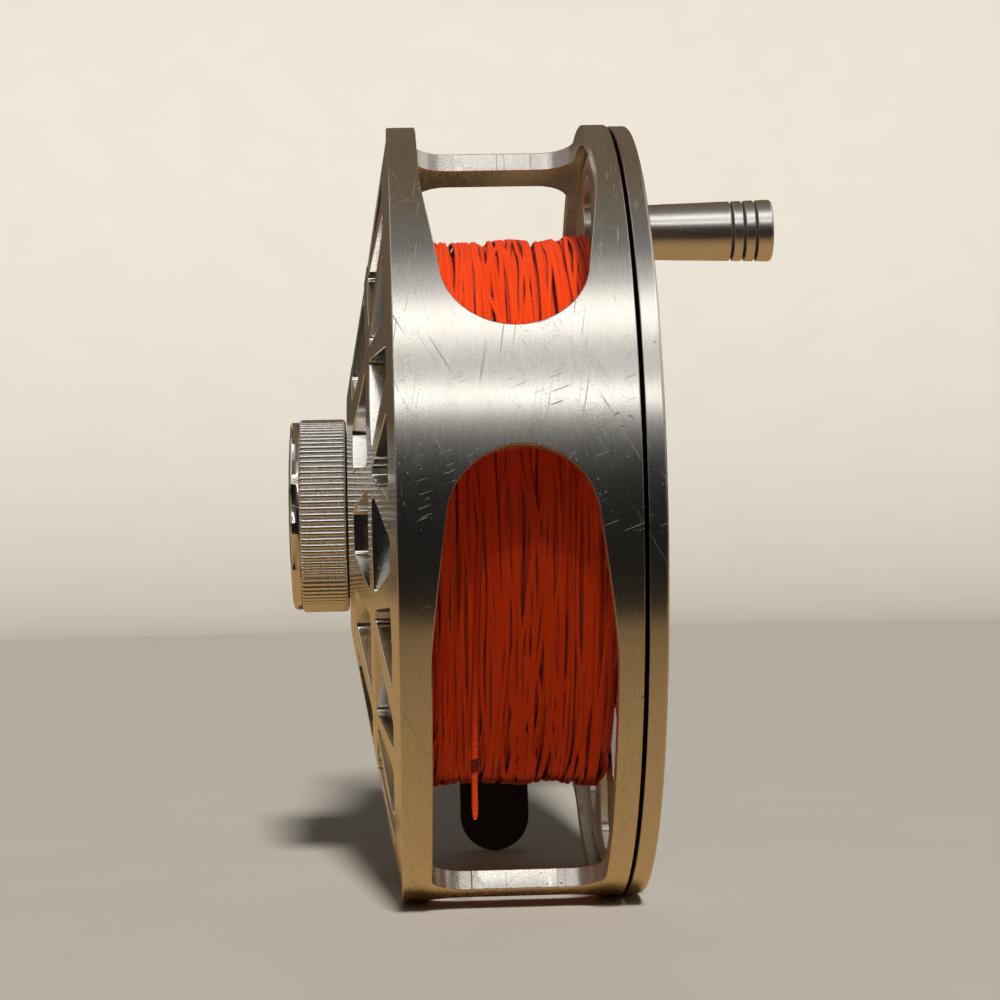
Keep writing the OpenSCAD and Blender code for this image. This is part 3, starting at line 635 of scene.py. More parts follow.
def tube(sh, path, radius, sides=8, closed=False, up=None, u0=0.0, caps=True):
    """A round tube along a path. radius is a number or one per point."""
    p = np.asarray(path, float)
    n = len(p)
    if closed:
        t = np.roll(p, -1, 0) - np.roll(p, 1, 0)
    else:
        t = np.gradient(p, axis=0)
    t = t / np.linalg.norm(t, axis=1, keepdims=True)
    up = np.array([0, 0, 1.0]) if up is None else up
    a = np.cross(t, up)
    a = a / np.linalg.norm(a, axis=1, keepdims=True)
    b = np.cross(t, a)
    turn = np.arange(sides) * 2 * math.pi / sides
    k = turn + math.pi
    rad = np.broadcast_to(radius, (n,))
    N = np.cos(k)[None, :, None] * a[:, None] + np.sin(k)[None, :, None] * b[:, None]
    P = p[:, None] + rad[:, None, None] * N
    seg = np.linalg.norm(np.diff(p, axis=0), axis=1)
    s = np.concatenate([[0], np.cumsum(seg)]) + u0
    U = np.stack(np.broadcast_arrays(s[:, None], turn[None] / (2 * math.pi)), -1)
    sh.grid(P, N, close_u=closed, close_v=True, U=U)
    if caps and not closed:
        for i, sg in ((0, -1), (n - 1, 1)):
            ring = P[i]
            c = p[i] + sg * t[i] * rad[i] * 0.35
            pts = np.vstack([ring, c])
            nn = np.vstack([N[i] * 0.5 + sg * t[i], sg * t[i]])
            sh.add(pts, nn, [[j, (j + 1) % sides, sides] for j in range(sides)], np.full((sides + 1, 2), s[i]))
    return s[-1]


END_R = 0.36
path, end_len = smooth_path(END_PTS, 110)
sh = Shell()
rr = np.full(len(path), END_R)
rr[-9:] = END_R * np.array([1.0, 1.04, 1.08, 1.08, 1.05, 1.02, 0.95, 0.8, 0.55])
tube(sh, path, rr, sides=12)
line_tag = sh.build("line_tag", "spool", M_LINE, uv=True)
# whipping of black thread near the tip
sh = Shell()
k0 = np.linspace(0, 1, 150)
seg_i = np.clip(89 + k0 * 4.6, 0, len(path) - 1.001)
cen = np.stack([np.interp(seg_i, np.arange(len(path)), path[:, k]) for k in range(3)], 1)
ang = k0 * 2 * math.pi * 4
whip = cen + (END_R + 0.05) * (np.cos(ang)[:, None] * np.array([1, 0, 0]) + np.sin(ang)[:, None] * np.array([0, 0, 1]))
tube(sh, whip, 0.085, sides=6, up=np.array([0.02, 1.0, 0.0]))
line_whip = sh.build("line_whipping", "spool", M_WHIP)
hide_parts("line_end")

# ---- frame -----------------------------------------------------------------------------------

R_O, R_I = 47.5, 45.1
WIN_HALF, ZC = 10.175, 13.625
ARCH, CORNER = 8.3, 4.3
Z_BACK, Z_RIM = 0.35, 26.24


def window_half():
    """Half of a window's outline, from its round end to its square end, as (angle, z - zc) with in-plane normals away from the opening, in degrees and mm."""
    tip = 8.3 + math.degrees(math.asin(ARCH / R_O))
    full, end = 36.7, 86.8
    k = math.radians(1) * R_O
    pts = []
    slope = math.atan2(WIN_HALF - ARCH + 0.1, (full - tip) * k)
    for b in np.linspace(0, 90 - math.degrees(slope) * 0.5, 18):
        pts.append(((tip * k - ARCH * math.cos(math.radians(b))) / k, ARCH * math.sin(math.radians(b))))
    x0, y0 = pts[-1]
    for t in np.linspace(0, 1, 12)[1:]:
        # a taper that eases into the full width
        e = t - 0.10 * math.sin(math.pi * t) * t
        y = y0 + (WIN_HALF - y0) * (1 - (1 - t) ** 1.25)
        pts.append((x0 + (full + 1.2 - x0) * t, y))
    last = full + 1.2
    c_end = end - math.degrees(CORNER / R_O)
    for a in np.arange(last + 1.9, c_end - 0.8, 1.9):
        pts.append((a, WIN_HALF))
    for b in np.linspace(0, 90, 12):
        pts.append((c_end + math.degrees(CORNER / R_O) * math.sin(math.radians(b)),
                    WIN_HALF - CORNER * (1 - math.cos(math.radians(b)))))
    for y in np.linspace(WIN_HALF - CORNER, 0, 6)[1:]:
        pts.append((end, y))
    return np.array(pts)


half = window_half()
kmm = math.radians(1) * R_O
hs = np.column_stack([half[:, 0] * kmm, half[:, 1]])
full_loop = np.vstack([hs, hs[-2:0:-1] * [1, -1]])
d = np.roll(full_loop, -1, 0) - np.roll(full_loop, 1, 0)
ln = np.stack([-d[:, 1], d[:, 0]], 1)
ln = ln / np.linalg.norm(ln, axis=1, keepdims=True)
cen = full_loop.mean(0)
if ((full_loop - cen) * ln).sum() < 0:
    ln = -ln
nh = len(hs)
hn = ln[:nh]
hn[0], hn[-1] = (-1, 0), (1, 0)


def outer_half():
    """For each point of the half outline, its partner on the border of the cell: the middle of the pillar, the ring's edge or the middle of the crossbar. Gives (angle, fraction of the way to the ring's edge)."""
    out = []
    n_arch = 18
    n_end = 5
    for i in range(nh):
        a, y = half[i]
        if i < 11:
            out.append((0.0, i / 10))
        elif i < n_arch:
            a_to = half[n_arch - 1][0]
            out.append((a_to * (i - 10) / (n_arch - 11), 1.0))
        elif i < nh - n_end - 11:
            out.append((a, 1.0))
        else:
            out.append(None)
    first = next(i for i, o in enumerate(out) if o is None)
    a0 = out[first - 1][0]
    rest = nh - first
    n_side = 8
    for j in range(rest):
        if j < rest - n_side:
            out[first + j] = (a0 + (90 - a0) * (j + 1) / (rest - n_side), 1.0)
        else:
            out[first + j] = (90.0, 1 - (j - (rest - n_side) + 1) / n_side)
    return out


outer = outer_half()
edge_a = [o[0] for o in outer if o[1] == 1.0]
edge_a = np.array(sorted(set([round(a, 6) for a in edge_a] + [0.0, 90.0])))


def cell(sh, r, z_lo, z_hi, b, normal_sign, layers=5):
    """The wall at radius r round one window, for all four cells."""
    for mx in (1, -1):
        for my in (1, -1):
            for side, z_edge in ((1, z_hi), (-1, z_lo)):
                A0 = (hs[:, 0] + hn[:, 0] * b) / kmm
                Z0 = ZC + side * (hs[:, 1] + hn[:, 1] * b)
                A1 = np.array([o[0] for o in outer])
                Z1 = ZC + np.array([o[1] for o in outer]) * (z_edge - ZC)
                t = np.linspace(0, 1, layers + 1)[:, None]
                A = A0 + (A1 - A0) * t
                Z = Z0 + (Z1 - Z0) * t
                phi = np.degrees(np.arctan2(my * np.sin(np.radians(A)), mx * np.cos(np.radians(A)))) - TILT
                P = cyl(r, phi, Z)
                N = cyln(normal_sign, phi, np.zeros_like(Z))
                sh.grid(P, N)
    return


def window_walls(sh, b_out, b_in, seg=3):
    for mx in (1, -1):
        for my in (1, -1):
            lp = np.vstack([hs, hs[-2:0:-1] * [1, -1]])
            nn = np.vstack([hn, hn[-2:0:-1] * [1, -1]])
            rows = []
            for k in range(seg + 1):
                t = k / seg * math.pi / 2
                rows.append((b_out * (1 - math.sin(t)), R_O - b_out * (1 - math.cos(t)), math.cos(t), math.sin(t)))
            for k in range(seg, -1, -1):
                t = k / seg * math.pi / 2
                rows.append((b_in * (1 - math.sin(t)), R_I + b_in * (1 - math.cos(t)), -math.cos(t), math.sin(t)))
            P, N = [], []
            for off, r, cr, cw in rows:
                q = lp + nn * off
                A = q[:, 0] / kmm
                Z = ZC + q[:, 1]
                phi = np.degrees(np.arctan2(my * np.sin(np.radians(A)), mx * np.cos(np.radians(A)))) - TILT
                P.append(cyl(r, phi, Z))
                rad = cyln(1, phi, np.zeros_like(Z))
                # direction of growing A, in space
                s = mx * my
                tan = np.stack([-np.sin(np.radians(phi)), np.cos(np.radians(phi)), np.zeros_like(phi)], -1) * s
                wall = -(nn[:, 0:1] * tan + nn[:, 1:2] * np.array([0, 0, 1.0]))
                N.append(cr * rad + cw * wall)
            sh.grid(np.array(P), np.array(N), close_v=True)


quad = edge_a
all_a = np.concatenate([quad, 180 - quad, 180 + quad, 360 - quad]) - TILT
all_a = np.unique(np.round(all_a % 360, 6))


def zo(r):
    return -5.15 + (r - 16.6) * 5.15 / 29.6


def zi(r):
    return -2.85 + (r - 16.8) * 5.15 / 28.3


so, si = 5.15 / 29.6, 5.15 / 28.3
sh = Shell()
EDGE = 0.16
cell(sh, R_O, Z_BACK, Z_RIM, EDGE, 1)
cell(sh, R_I, 2.3 + 0.5, Z_RIM, 0.12, -1)
window_walls(sh, EDGE, 0.12)
lathe(sh, [[R_O, Z_RIM - 0.0], [R_O, 26.54], [R_I, 26.54], [R_I, Z_RIM]], 0.16, all_a, closed=False, want=(1, 0))
lathe(sh, [[R_O, Z_BACK], [R_O, 0.0], [46.2, 0.0]], 0.35, all_a, closed=False, want=(1, 0))
# inside corner between the barrel and the back, then the ported back
t_in = 0.5
lathe(sh, [[R_I, 2.3 + 0.5], [R_I, 2.3], [44.6, zi(44.6)]], 0.6, all_a, closed=False, want=(-1, 0))
A120 = np.arange(120) * 3.0
loops = []
for i in range(12):
    loops.append(rounded_loop([pol(18.6, -8.2), pol(28.9, -12.3), pol(28.9, 12.3), pol(18.6, 8.2)], 1.1, 0.8, 186.5 + 30 * i))
    loops.append(rounded_loop([pol(31.6, -1.2), pol(41.4, -6.9), pol(41.9, 0), pol(41.4, 6.9), pol(31.6, 1.2)], 0.55, 0.8, 201.5 + 30 * i))
    loops.append(rounded_loop([pol(31.3, -10.6), pol(41.9, -2.4), pol(41.9, 2.4), pol(31.3, 10.6)], 0.55, 0.8, 186.5 + 30 * i))
ported_plate(sh, zo, (so, -1.0), zi, (-si, 1.0), 0.14, (17.2, A120, 46.2, all_a), (17.9, A120, 44.6, all_a), loops)
lathe(sh, [[17.2, zo(17.2)], [16.6, -5.15], [14.6, -5.5], [3.4, -5.5], [2.99, -5.5], [2.99, -3.2], [14.5, -3.2], [14.5, 8.6],
           [17.5, 8.6], [17.5, zi(17.5)], [17.9, zi(17.9)]], [0, 0.6, 1.0, 0.1, 0.1, 0.1, 0.1, 0.2, 0.2, 0.2, 0], A120,
      closed=False, want=(0, -1))
frame_body = sh.build("frame_shell", "frame", M_FRAME)
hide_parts("frame")

# ---- spool -----------------------------------------------------------------------------------

sh = Shell()
A180 = np.arange(180) * 2.0
loops = []
for i in range(12):
    loops.append(rounded_loop([pol(25.6, -8.6), pol(40.2, -9.3), pol(41.9, -3), pol(41.9, 3), pol(40.2, 9.3), pol(25.6, 8.6)],
                              1.6, 0.9, HANDLE_PHI + 15 + 30 * i))
ported_plate(sh, lambda r: 25.1 + 0 * r, (0, -1.0), lambda r: 27.0 + 0 * r, (0, 1.0), 0.16,
             (23.0, A180, 43.6, A180), (23.9, A180, 42.9, A180), loops)
loops = [circle_loop(pol(17.1, HANDLE_PHI + 15 + 30 * i), 2.5) for i in range(12)]
ported_plate(sh, lambda r: 23.4 + 0 * r, (0, -1.0), lambda r: 25.9 + 0 * r, (0, 1.0), 0.12,
             (13.6, A180, 20.4, A180), (14.35, A180, 20.9, A180), loops)
lathe(sh, [[23.0, 25.1], [22.5, 25.1], [22.5, 3.6], [44.4, 3.6], [44.4, 2.5], [20.9, 2.5], [20.9, 23.4], [20.4, 23.4]],
      [0, 0.2, 0.2, 0.25, 0.25, 0.25, 0.3, 0], A180, closed=False, want=(0, -1))
lathe(sh, [[13.6, 23.4], [13.0, 23.4], [13.0, 11.2], [11.6, 10.8], [11.6, 8.8], [10.5, 8.8], [10.5, 26.7], [13.4, 26.7],
           [14.1, 25.9], [14.35, 25.9]], [0, 0.2, 0.1, 0.1, 0.1, 0.1, 0.15, 0.2, 0.2, 0], A180, closed=False, want=(0, -1))
lathe(sh, [[20.9, 25.9], [21.6, 25.9], [23.2, 27.0], [23.9, 27.0]], [0, 0.3, 0.3, 0], A180, closed=False, want=(0, 1))
lathe(sh, [[42.9, 27.0], [43.2, 27.0], [43.6, 28.5], [44.3, 29.2], [47.3, 29.2], [47.3, 27.05], [44.4, 27.05], [44.4, 25.1],
           [43.6, 25.1]], [0, 0.3, 0.5, 0.3, 0.4, 0.14, 0.15, 0.35, 0], A180, closed=False, want=(0, 1))
for ang_, top in ((0, 29.3), (180, 28.2)):
    c = pol(38.2, HANDLE_PHI + ang_)
    lathe(sh, [[0.0, top], [4.7, top], [4.7, 25.12], [0.0, 25.12]], [0, 0.3, 0.1, 0], 96, closed=False, centre=c, want=(0, 1))
spool_body = sh.build("spool_shell", "spool", M_SPOOL)
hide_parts("spool")

# ---- handle ----------------------------------------------------------------------------------


def handle_rad(z):
    return 3.45 + 0.55 * (z - 29.9) / (HANDLE_END - 29.9)


hc = pol(38.2, HANDLE_PHI)
sh = Shell()
GROOVES = (HANDLE_END - 5.3, HANDLE_END - 3.75, HANDLE_END - 2.2)
prof, rads = [[2.2, 29.9], [3.45, 29.9]], [0.1, 0.35]
for z in GROOVES:
    r_ = handle_rad(z)
    prof += [[r_, z - 0.19], [r_ - 0.45, z - 0.15], [r_ - 0.45, z + 0.15], [r_, z + 0.19]]
    rads += [0.10, 0.04, 0.04, 0.10]
prof += [[4.0, HANDLE_END], [3.0, HANDLE_END], [3.0, HANDLE_END - 2.7], [2.2, HANDLE_END - 2.7]]
rads += [0.42, 0.2, 0.1, 0.1]
lathe(sh, prof, rads, 128, centre=hc, seg=4)
handle_body = sh.build("handle_grip", "handle", M_HANDLE)
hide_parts("handle")
# a black ring at the bottom of each of the three grooves: painted shade of the deep narrow grooves
sh = Shell()
for z in GROOVES:
    r_ = handle_rad(z) - 0.42
    lathe(sh, [[r_ - 0.1, z - 0.145], [r_, z - 0.145], [r_, z + 0.145], [r_ - 0.1, z + 0.145]], 0.01, 128, centre=hc)
groove = sh.build("handle_groove_painted_shade", "handle", M_RUBBER)

# ---- knob ------------------------------------------------------------------------------------

sh = Shell()
RIBS = 96
n_ang = RIBS * 10
a = np.arange(n_ang) * 360 / n_ang
ph = (a * RIBS / 360) % 1.0
dist = np.minimum(ph, 1 - ph)
# rounded ribs with narrow grooves between them
shape = 1 - np.sqrt(np.maximum(1 - (dist / 0.5) ** 2 * 0.97, 0))
p, n = fillet([[8.7, -11.4], [11.9, -11.4], [11.9, -5.7], [8.7, -5.7]], [0.1, 0.45, 0.45, 0.1], True, 4)
Rr = p[None, :, 0] - 0.40 * shape[:, None] * np.clip((p[None, :, 0] - 11.35) / 0.4, 0, 1)
P = cyl(Rr, a[:, None], p[None, :, 1])
du = np.roll(P, -1, 0) - np.roll(P, 1, 0)
dv = np.roll(P, -1, 1) - np.roll(P, 1, 1)
Nn = np.cross(du, dv)
Nn /= np.maximum(np.linalg.norm(Nn, axis=-1, keepdims=True), 1e-12)
ref = cyln(n[None, :, 0], a[:, None], n[None, :, 1])
Nn *= np.sign((Nn * ref).sum(-1, keepdims=True))
sh.grid(P, Nn, close_u=True, close_v=True)
knob = sh.build("knob_ring", "drag_knob", M_KNOB)
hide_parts("drag_knob")

# polished face with twelve wide scallops
sh = Shell()
n_ang = 720
a = np.arange(n_ang) * 360 / n_ang
dl = np.radians((a - 22.7 + 15) % 30 - 15)
rho = np.minimum(11.6, 19.0 * np.cos(dl) - np.sqrt(np.maximum(64 - (19.0 * np.sin(dl)) ** 2, 0)))
prof = []
for rr_ in np.linspace(0, 10.6, 16):
    prof.append((rr_ / 10.6, 0.0, -12.9 + 0.4 * (rr_ / 10.7) ** 2.2))
face_p, face_n = [], []
b_ = 0.42
rin = rho - b_
for fr, _, z in prof:
    face_p.append(cyl(rin * fr, a, np.full(n_ang, z)))
for k in range(1, 7):
    t = k / 6 * math.pi / 2
    face_p.append(cyl(rin + b_ * math.sin(t), a, np.full(n_ang, -12.52 + b_ * (1 - math.cos(t)))))
face_p.append(cyl(rho, a, np.full(n_ang, -11.5)))
face_p.append(cyl(rho - 0.1, a, np.full(n_ang, -11.41)))
face_p.append(cyl(rho * 0.0 + 8.98, a, np.full(n_ang, -11.41)))
face_p.append(cyl(rho * 0.0 + 8.98, a, np.full(n_ang, -11.05)))
face_p.append(cyl(rho * 0.0, a, np.full(n_ang, -11.05)))
P = np.array(face_p)
du = np.roll(P, -1, 1) - np.roll(P, 1, 1)
dv = np.gradient(P, axis=0)
Nn = np.cross(du, dv)
ln_ = np.linalg.norm(Nn, axis=-1, keepdims=True)
Nn = Nn / np.maximum(ln_, 1e-9)
Nn[0] = (0, 0, -1)
Nn[-1] = (0, 0, 1)
Nn[-2] = (0, 0, 1)
mid = P[4:18].mean((0, 1))
ref = P - np.array([0, 0, -10.5])
Nn *= np.sign((Nn * ref).sum(-1, keepdims=True) + 1e-9)
Nn[-5:, :, :] = np.stack([cyln(1, a, 0 * a), cyln(0.3, a, 0 * a + 1), cyln(0, a, 0 * a + 1), cyln(1, a, 0 * a + 0.5), cyln(0, a, 0 * a + 1)])
sh.grid(P, Nn, close_v=True)
face = sh.build("knob_face_disc", "drag_knob", M_MIRROR)
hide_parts("knob_face")

# ---- wound line --------------------------------------------------------------------------------

rng = np.random.default_rng(11)
NB = 260
PHI = np.arange(NB) * 360.0 / NB
A_S = 0.285
Z0_, Z1_ = 3.66 + 1.08 * A_S + 0.02, 25.04 - 1.08 * A_S - 0.02


def level(z):
    """Radius that the winding builds up to, along its width."""
    return np.interp(z, [3.6, 4.2, 7.0, 11, 15, 18.5, 21.5, 24, 25.1], [32.9, 33.25, 32.85, 32.9, 33.2, 32.8, 33.45, 33.6, 33.2])


def wander(scale, smooth):
    w = rng.normal(size=NB)
    k = np.fft.rfftfreq(NB, 1 / NB)
    f = np.fft.rfft(w) * np.exp(-(k / smooth) ** 2)
    f[0] = 0
    g = np.fft.irfft(f, NB)
    return g / max(np.abs(g).max(), 1e-9) * scale


turns_z, turns_r = [], []


def lay(z_k, lift, slack):
    """Lays one turn on the turns that are there already."""
    z_k = np.clip(z_k, Z0_, Z1_)
    r_k = level(z_k) - lift
    for zj, rj in zip(turns_z, turns_r):
        dz = np.abs(z_k - zj)
        near = dz < 2 * A_S * 0.96
        up_ = rj + np.sqrt(np.maximum((2 * A_S * 0.96) ** 2 - dz ** 2, 0)) * 0.9
        r_k = np.where(near, np.maximum(r_k, up_), r_k)
    # the taut line bridges the hollows
    big = np.max([np.roll(r_k, s) for s in range(-slack, slack + 1)], axis=0)
    k_ = 1.0 + slack - np.abs(np.arange(-slack, slack + 1))
    k_ = k_ / k_.sum()
    r_k = sum(w * np.roll(big, s) for w, s in zip(k_, range(-slack, slack + 1)))
    turns_z.append(z_k)
    turns_r.append(np.minimum(r_k, level(z_k) + 0.30))


N_BED = 38
for k in range(N_BED):
    # the bed: turns side by side
    z_k = Z0_ + (Z1_ - Z0_) * k / (N_BED - 1) + wander(0.16, 5)
    lay(z_k, 1.35, 1)
for n_top, lift_ in ((36, 0.95), (33, 0.55)):
    for k in rng.permutation(n_top):
        # the next turns lie in the valleys, and wander
        z_k = Z0_ + (Z1_ - Z0_) * (k + 0.5) / n_top
        z_k = z_k + wander(rng.choice([0.35, 0.7, 1.1]), rng.choice([4, 7, 11]))
        lay(z_k, lift_, 2)
for k in range(22):
    # the last ones cross the rest at a slant, where the traverse went on
    z_k = rng.uniform(Z0_ + 0.4, Z1_ - 0.4) + wander(rng.choice([0.7, 1.3, 2.0], p=[0.4, 0.35, 0.25]), rng.choice([4, 6, 9]))
    lay(z_k, 0.30, 3)
sh = Shell()
u_run = 0.0
for z_k, r_k in zip(turns_z, turns_r):
    pts = cyl(r_k, PHI, z_k)
    nxt = np.roll(pts, -1, 0)
    L = np.linalg.norm(nxt - pts, axis=1).sum()
    P8 = np.vstack([pts, pts[:1]])
    t = np.roll(pts, -1, 0) - np.roll(pts, 1, 0)
    t /= np.linalg.norm(t, axis=1, keepdims=True)
    e1 = cyln(1, PHI, 0 * PHI)
    e2 = np.cross(t, e1)
    e2 /= np.linalg.norm(e2, axis=1, keepdims=True)
    e1 = np.cross(e2, t)
    sides = 8
    turn = np.arange(sides) * 2 * math.pi / sides
    kk = turn + math.pi
    N = np.cos(kk)[None, :, None] * e1[:, None] + np.sin(kk)[None, :, None] * e2[:, None]
    P = pts[:, None] + A_S * (np.cos(kk)[None, :, None] * e1[:, None] + 1.08 * np.sin(kk)[None, :, None] * e2[:, None])
    s_ = np.arange(NB + 1) * L / NB + u_run
    P = np.concatenate([P, P[:1]])
    N = np.concatenate([N, N[:1]])
    U = np.stack(np.broadcast_arrays(s_[:, None], turn[None] / (2 * math.pi)), -1)
    sh.grid(P, N, close_v=True, U=U)
    u_run += L
# no welding between neighbouring turns: they only touch
line_turns = sh.build("line_turns", "spool", M_LINE, uv=True)
# solid core of the pack under the turns, in the darkened line colour of painted shade
sh = Shell()
zz = np.linspace(3.68, 25.02, 40)
core = [[22.6, 3.68]] + [[level(z) - 1.15, z] for z in zz] + [[22.6, 25.02]]
lathe(sh, core, 0.02, 180, closed=True, seg=1)
line_core = sh.build("line_core", "spool", M_LINE_CORE_PAINTED_SHADE)
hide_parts("line_pack")

# ---- stage ---------------------------------------------------------------------------------------


def stage_mesh(name, verts, faces, mat):
    me = bpy.data.meshes.new(name)
    me.from_pydata(verts, [], faces)
    me.polygons.foreach_set("use_smooth", np.ones(len(faces), bool))
    ob = bpy.data.objects.new(name, me)
    scene.collection.objects.link(ob)
    me.materials.append(mat)
    return ob


def pale(name, a_, b_, rough):
    t = Tree(name)
    tc = t.node("ShaderNodeTexCoord")
    t.set(Base_Color=t.mix(t.noise(tc.outputs["Object"], 30.0, 5.0), a_, b_), Roughness=rough)
    return t.mat


# a pale floor that sweeps up into a wall all round, far from the reel
M_FLOOR = pale("floor_pale", (0.455, 0.435, 0.398, 1), (0.485, 0.463, 0.425, 1), 0.8)
NA = 128


def rings(prof_):
    verts_ = [(r_ * math.cos(2 * math.pi * k / NA), r_ * math.sin(2 * math.pi * k / NA), z_) for r_, z_ in prof_ for k in range(NA)]
    faces_ = [(i * NA + k, (i + 1) * NA + k, (i + 1) * NA + (k + 1) % NA, i * NA + (k + 1) % NA)
              for i in range(len(prof_) - 1) for k in range(NA)]
    return verts_, faces_


verts, faces = rings([(0.2, 0.0), (0.5, 0.0), (0.9, 0.0)])
floor = stage_mesh("floor", verts, faces + [tuple(range(NA))], M_FLOOR)
prof = [(0.9 + 0.7 * math.sin(k / 60 * math.pi / 2), 0.7 * (1 - math.cos(k / 60 * math.pi / 2))) for k in range(61)]
verts, faces = rings(prof + [(1.6, 3.0)])
wall = stage_mesh("floor_sweep", verts, faces, M_FLOOR)
for ob in (floor, wall):
    ob.visible_glossy = False
    ob.visible_shadow = False
    ob.visible_diffuse = False
# the warm table top that the metal mirrors: its near edge is close in front of the reel
t = Tree("table_warm")
tc = t.node("ShaderNodeTexCoord")
sp = t.node("ShaderNodeSeparateXYZ")
t.nt.links.new(tc.outputs["Object"], sp.inputs[0])
wood = t.mix(t.noise(tc.outputs["Object"], 30.0, 5.0), (0.345, 0.217, 0.086, 1), (0.405, 0.255, 0.108, 1))
near = t.math("ADD", t.ramp(sp.outputs[1], -0.1135, -0.104, 0.0, 0.33), t.ramp(sp.outputs[1], -0.104, -0.02, 0.0, 0.67))
t.set(Base_Color=t.mix(near, (0.100, 0.062, 0.023, 1), wood), Roughness=0.7)
M_TABLE = t.mat
patch = stage_mesh("floor_near", [(-0.6, -0.112, 0.00005), (0.6, -0.112, 0.00005), (0.6, 0.9, 0.00005), (-0.6, 0.9, 0.00005)],
                   [(0, 1, 2, 3)], M_TABLE)
patch.visible_camera = patch.visible_diffuse = patch.visible_shadow = False


def light(kind, name, az, el, dist, color=(1, 1, 1), glossy=True, diffuse=True):
    """A light that looks at the reel. Azimuth 0 is the viewer's side, and 90 the handle's side."""
    ld = bpy.data.lights.new(name, kind)
    ld.color = color
    ob = bpy.data.objects.new(name, ld)
    scene.collection.objects.link(ob)
    a, e = math.radians(az), math.radians(el)
    dirn = Vector((math.sin(a) * math.cos(e), -math.cos(a) * math.cos(e), math.sin(e)))
    c = Vector((0, -Y_MID * 0.001, R_F * 0.001))
    ob.location = c + dirn * dist
    ob.rotation_mode = "QUATERNION"
    ob.rotation_quaternion = dirn.to_track_quat("Z", "Y")
    ob.visible_camera = False
    ob.visible_glossy = glossy
    ob.visible_diffuse = diffuse
    return ob


def panel(name, az, el, w, h, radiance, dist=1.4, **kw):
    """A flat panel w wide and h high, in degrees as the reel sees it, of an even radiance."""
    ob = light("AREA", name, az, el, dist, **kw)
    ld = ob.data
    ld.shape = "RECTANGLE"
    ld.size = 2 * dist * math.tan(math.radians(w / 2))
    ld.size_y = 2 * dist * math.tan(math.radians(h / 2))
    ld.energy = radiance * math.pi * ld.size * ld.size_y
    return ob


def sun(name, az, el, angle, strength, **kw):
    ob = light("SUN", name, az, el, 2.0, glossy=False, **kw)
    ob.data.angle = math.radians(angle)
    ob.data.energy = strength
    return ob


WARM = (1.0, 0.965, 0.91)
# soft boxes that the metal mirrors
panel("box_high", 18, 57.0, 74, 13, 1.6, color=WARM, diffuse=False)
panel("box_low", -8, 32.6, 74, 4.6, 3.2, color=WARM, diffuse=False)
panel("box_between", 0, 44, 80, 14, 0.40, color=WARM, diffuse=False)
panel("box_top", 6, 70, 80, 10, 0.30, color=WARM, diffuse=False)
panel("box_left", -95, 55, 60, 20, 0.6, color=WARM, diffuse=False)
panel("box_right", 100, 38, 50, 50, 0.45, color=WARM, diffuse=False)
# light for the floor, from the front, so that the reel's shadow lies behind it, and a little from behind
on_floor = sun("floor_key", 3, 30.5, 6, 5.7, color=WARM)
rear = sun("floor_rear", 172, 60, 16, 0.12, color=WARM)
# light for the line: the high lamp, what the table throws back from below, and a little from all round
on_line = [sun("line_high", 12, 55, 5, 3.1, color=WARM), sun("line_low", -6, 38, 4, 0.42, color=WARM),
           sun("line_bounce", -4, -60, 14, 0.62, color=WARM), sun("line_soft", 0, 8, 80, 0.08, color=WARM)]
soft = bpy.data.collections.new("line_pieces")
for ob in (line_turns, line_core, line_tag, line_whip):
    soft.objects.link(ob)
wound = bpy.data.collections.new("wound_line_pieces")
for ob in (line_turns, line_core):
    wound.objects.link(ob)
for ob in on_line:
    ob.light_linking.receiver_collection = wound if ob.name == "line_low" else soft
rest = bpy.data.collections.new("all_but_the_line")
for ob in (line_turns, line_core, line_tag, line_whip):
    rest.objects.link(ob)
for co in rest.collection_objects:
    co.light_linking.link_state = "EXCLUDE"
on_floor.light_linking.receiver_collection = rest

world = bpy.data.worlds.new("studio")
scene.world = world
world.use_nodes = True
wt = world.node_tree
bg = wt.nodes["Background"]
tc = wt.nodes.new("ShaderNodeTexCoord")
sp = wt.nodes.new("ShaderNodeSeparateXYZ")
wt.links.new(tc.outputs["Generated"], sp.inputs[0])


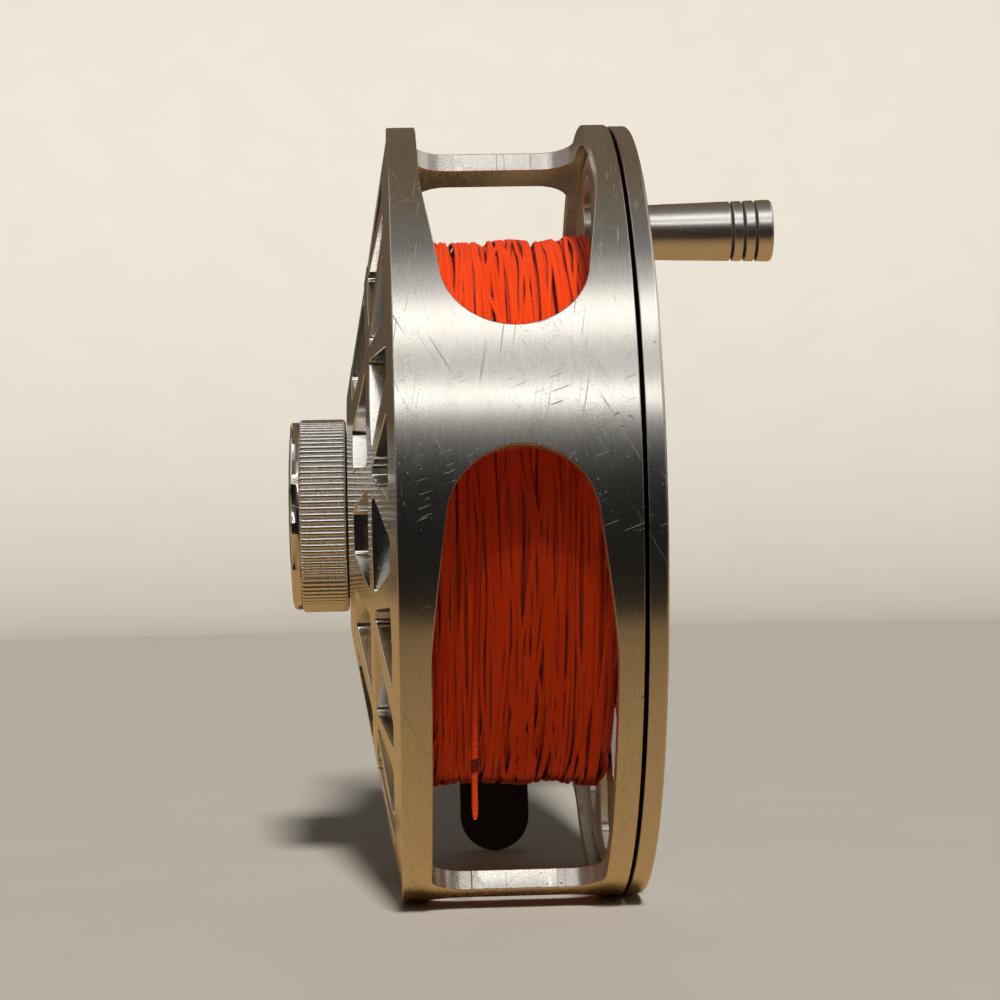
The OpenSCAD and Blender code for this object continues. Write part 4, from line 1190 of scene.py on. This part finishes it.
def wmath(op, a_, b_=None):
    n = wt.nodes.new("ShaderNodeMath")
    n.operation = op
    for i, x_ in enumerate((a_, b_)):
        if x_ is None:
            continue
        if isinstance(x_, bpy.types.NodeSocket):
            wt.links.new(x_, n.inputs[i])
        else:
            n.inputs[i].default_value = x_
    return n.outputs[0]


def wramp(x_, lo, hi, a_, b_):
    n = wt.nodes.new("ShaderNodeMapRange")
    n.interpolation_type = "SMOOTHSTEP"
    wt.links.new(x_, n.inputs["Value"])
    for k_, v_ in (("From Min", lo), ("From Max", hi), ("To Min", a_), ("To Max", b_)):
        n.inputs[k_].default_value = v_
    return n.outputs["Result"]


front = wramp(sp.outputs[1], 0.35, -0.2, 0.0, 1.0)
rise = wramp(sp.outputs[2], 0.15, 0.5, 0.0, 0.13)
dim = wmath("MULTIPLY", front, wmath("ADD", rise, 0.010))
rear_ = wmath("MULTIPLY", wmath("SUBTRACT", 1.0, front), wramp(sp.outputs[2], -0.2, 0.3, 0.05, 0.14))
side_ = wmath("MULTIPLY", wramp(wmath("ABSOLUTE", sp.outputs[0]), 0.55, 0.9, 0.0, 0.20), wramp(sp.outputs[2], -0.1, 0.2, 0.0, 1.0))
glow = wmath("ADD", dim, side_)
lp = wt.nodes.new("ShaderNodeLightPath")
mixc = wt.nodes.new("ShaderNodeMix")
mixc.data_type = "RGBA"
wt.links.new(lp.outputs["Is Camera Ray"], mixc.inputs[0])
comb = wt.nodes.new("ShaderNodeCombineXYZ")
for i, (f_, g_) in enumerate(((1.0, 1.0), (0.95, 0.72), (0.87, 0.45))):
    wt.links.new(wmath("ADD", wmath("MULTIPLY", glow, f_), wmath("MULTIPLY", rear_, g_)), comb.inputs[i])
wt.links.new(comb.outputs[0], mixc.inputs[6])
mixc.inputs[7].default_value = (0.62, 0.56, 0.46, 1)
wt.links.new(mixc.outputs[2], bg.inputs["Color"])
wt.links.new(wmath("SUBTRACT", 1.0, wmath("MULTIPLY", lp.outputs["Is Diffuse Ray"], 0.45)), bg.inputs["Strength"])
scene.view_settings.view_transform = "Standard"
scene.view_settings.look = "None"

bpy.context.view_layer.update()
import json
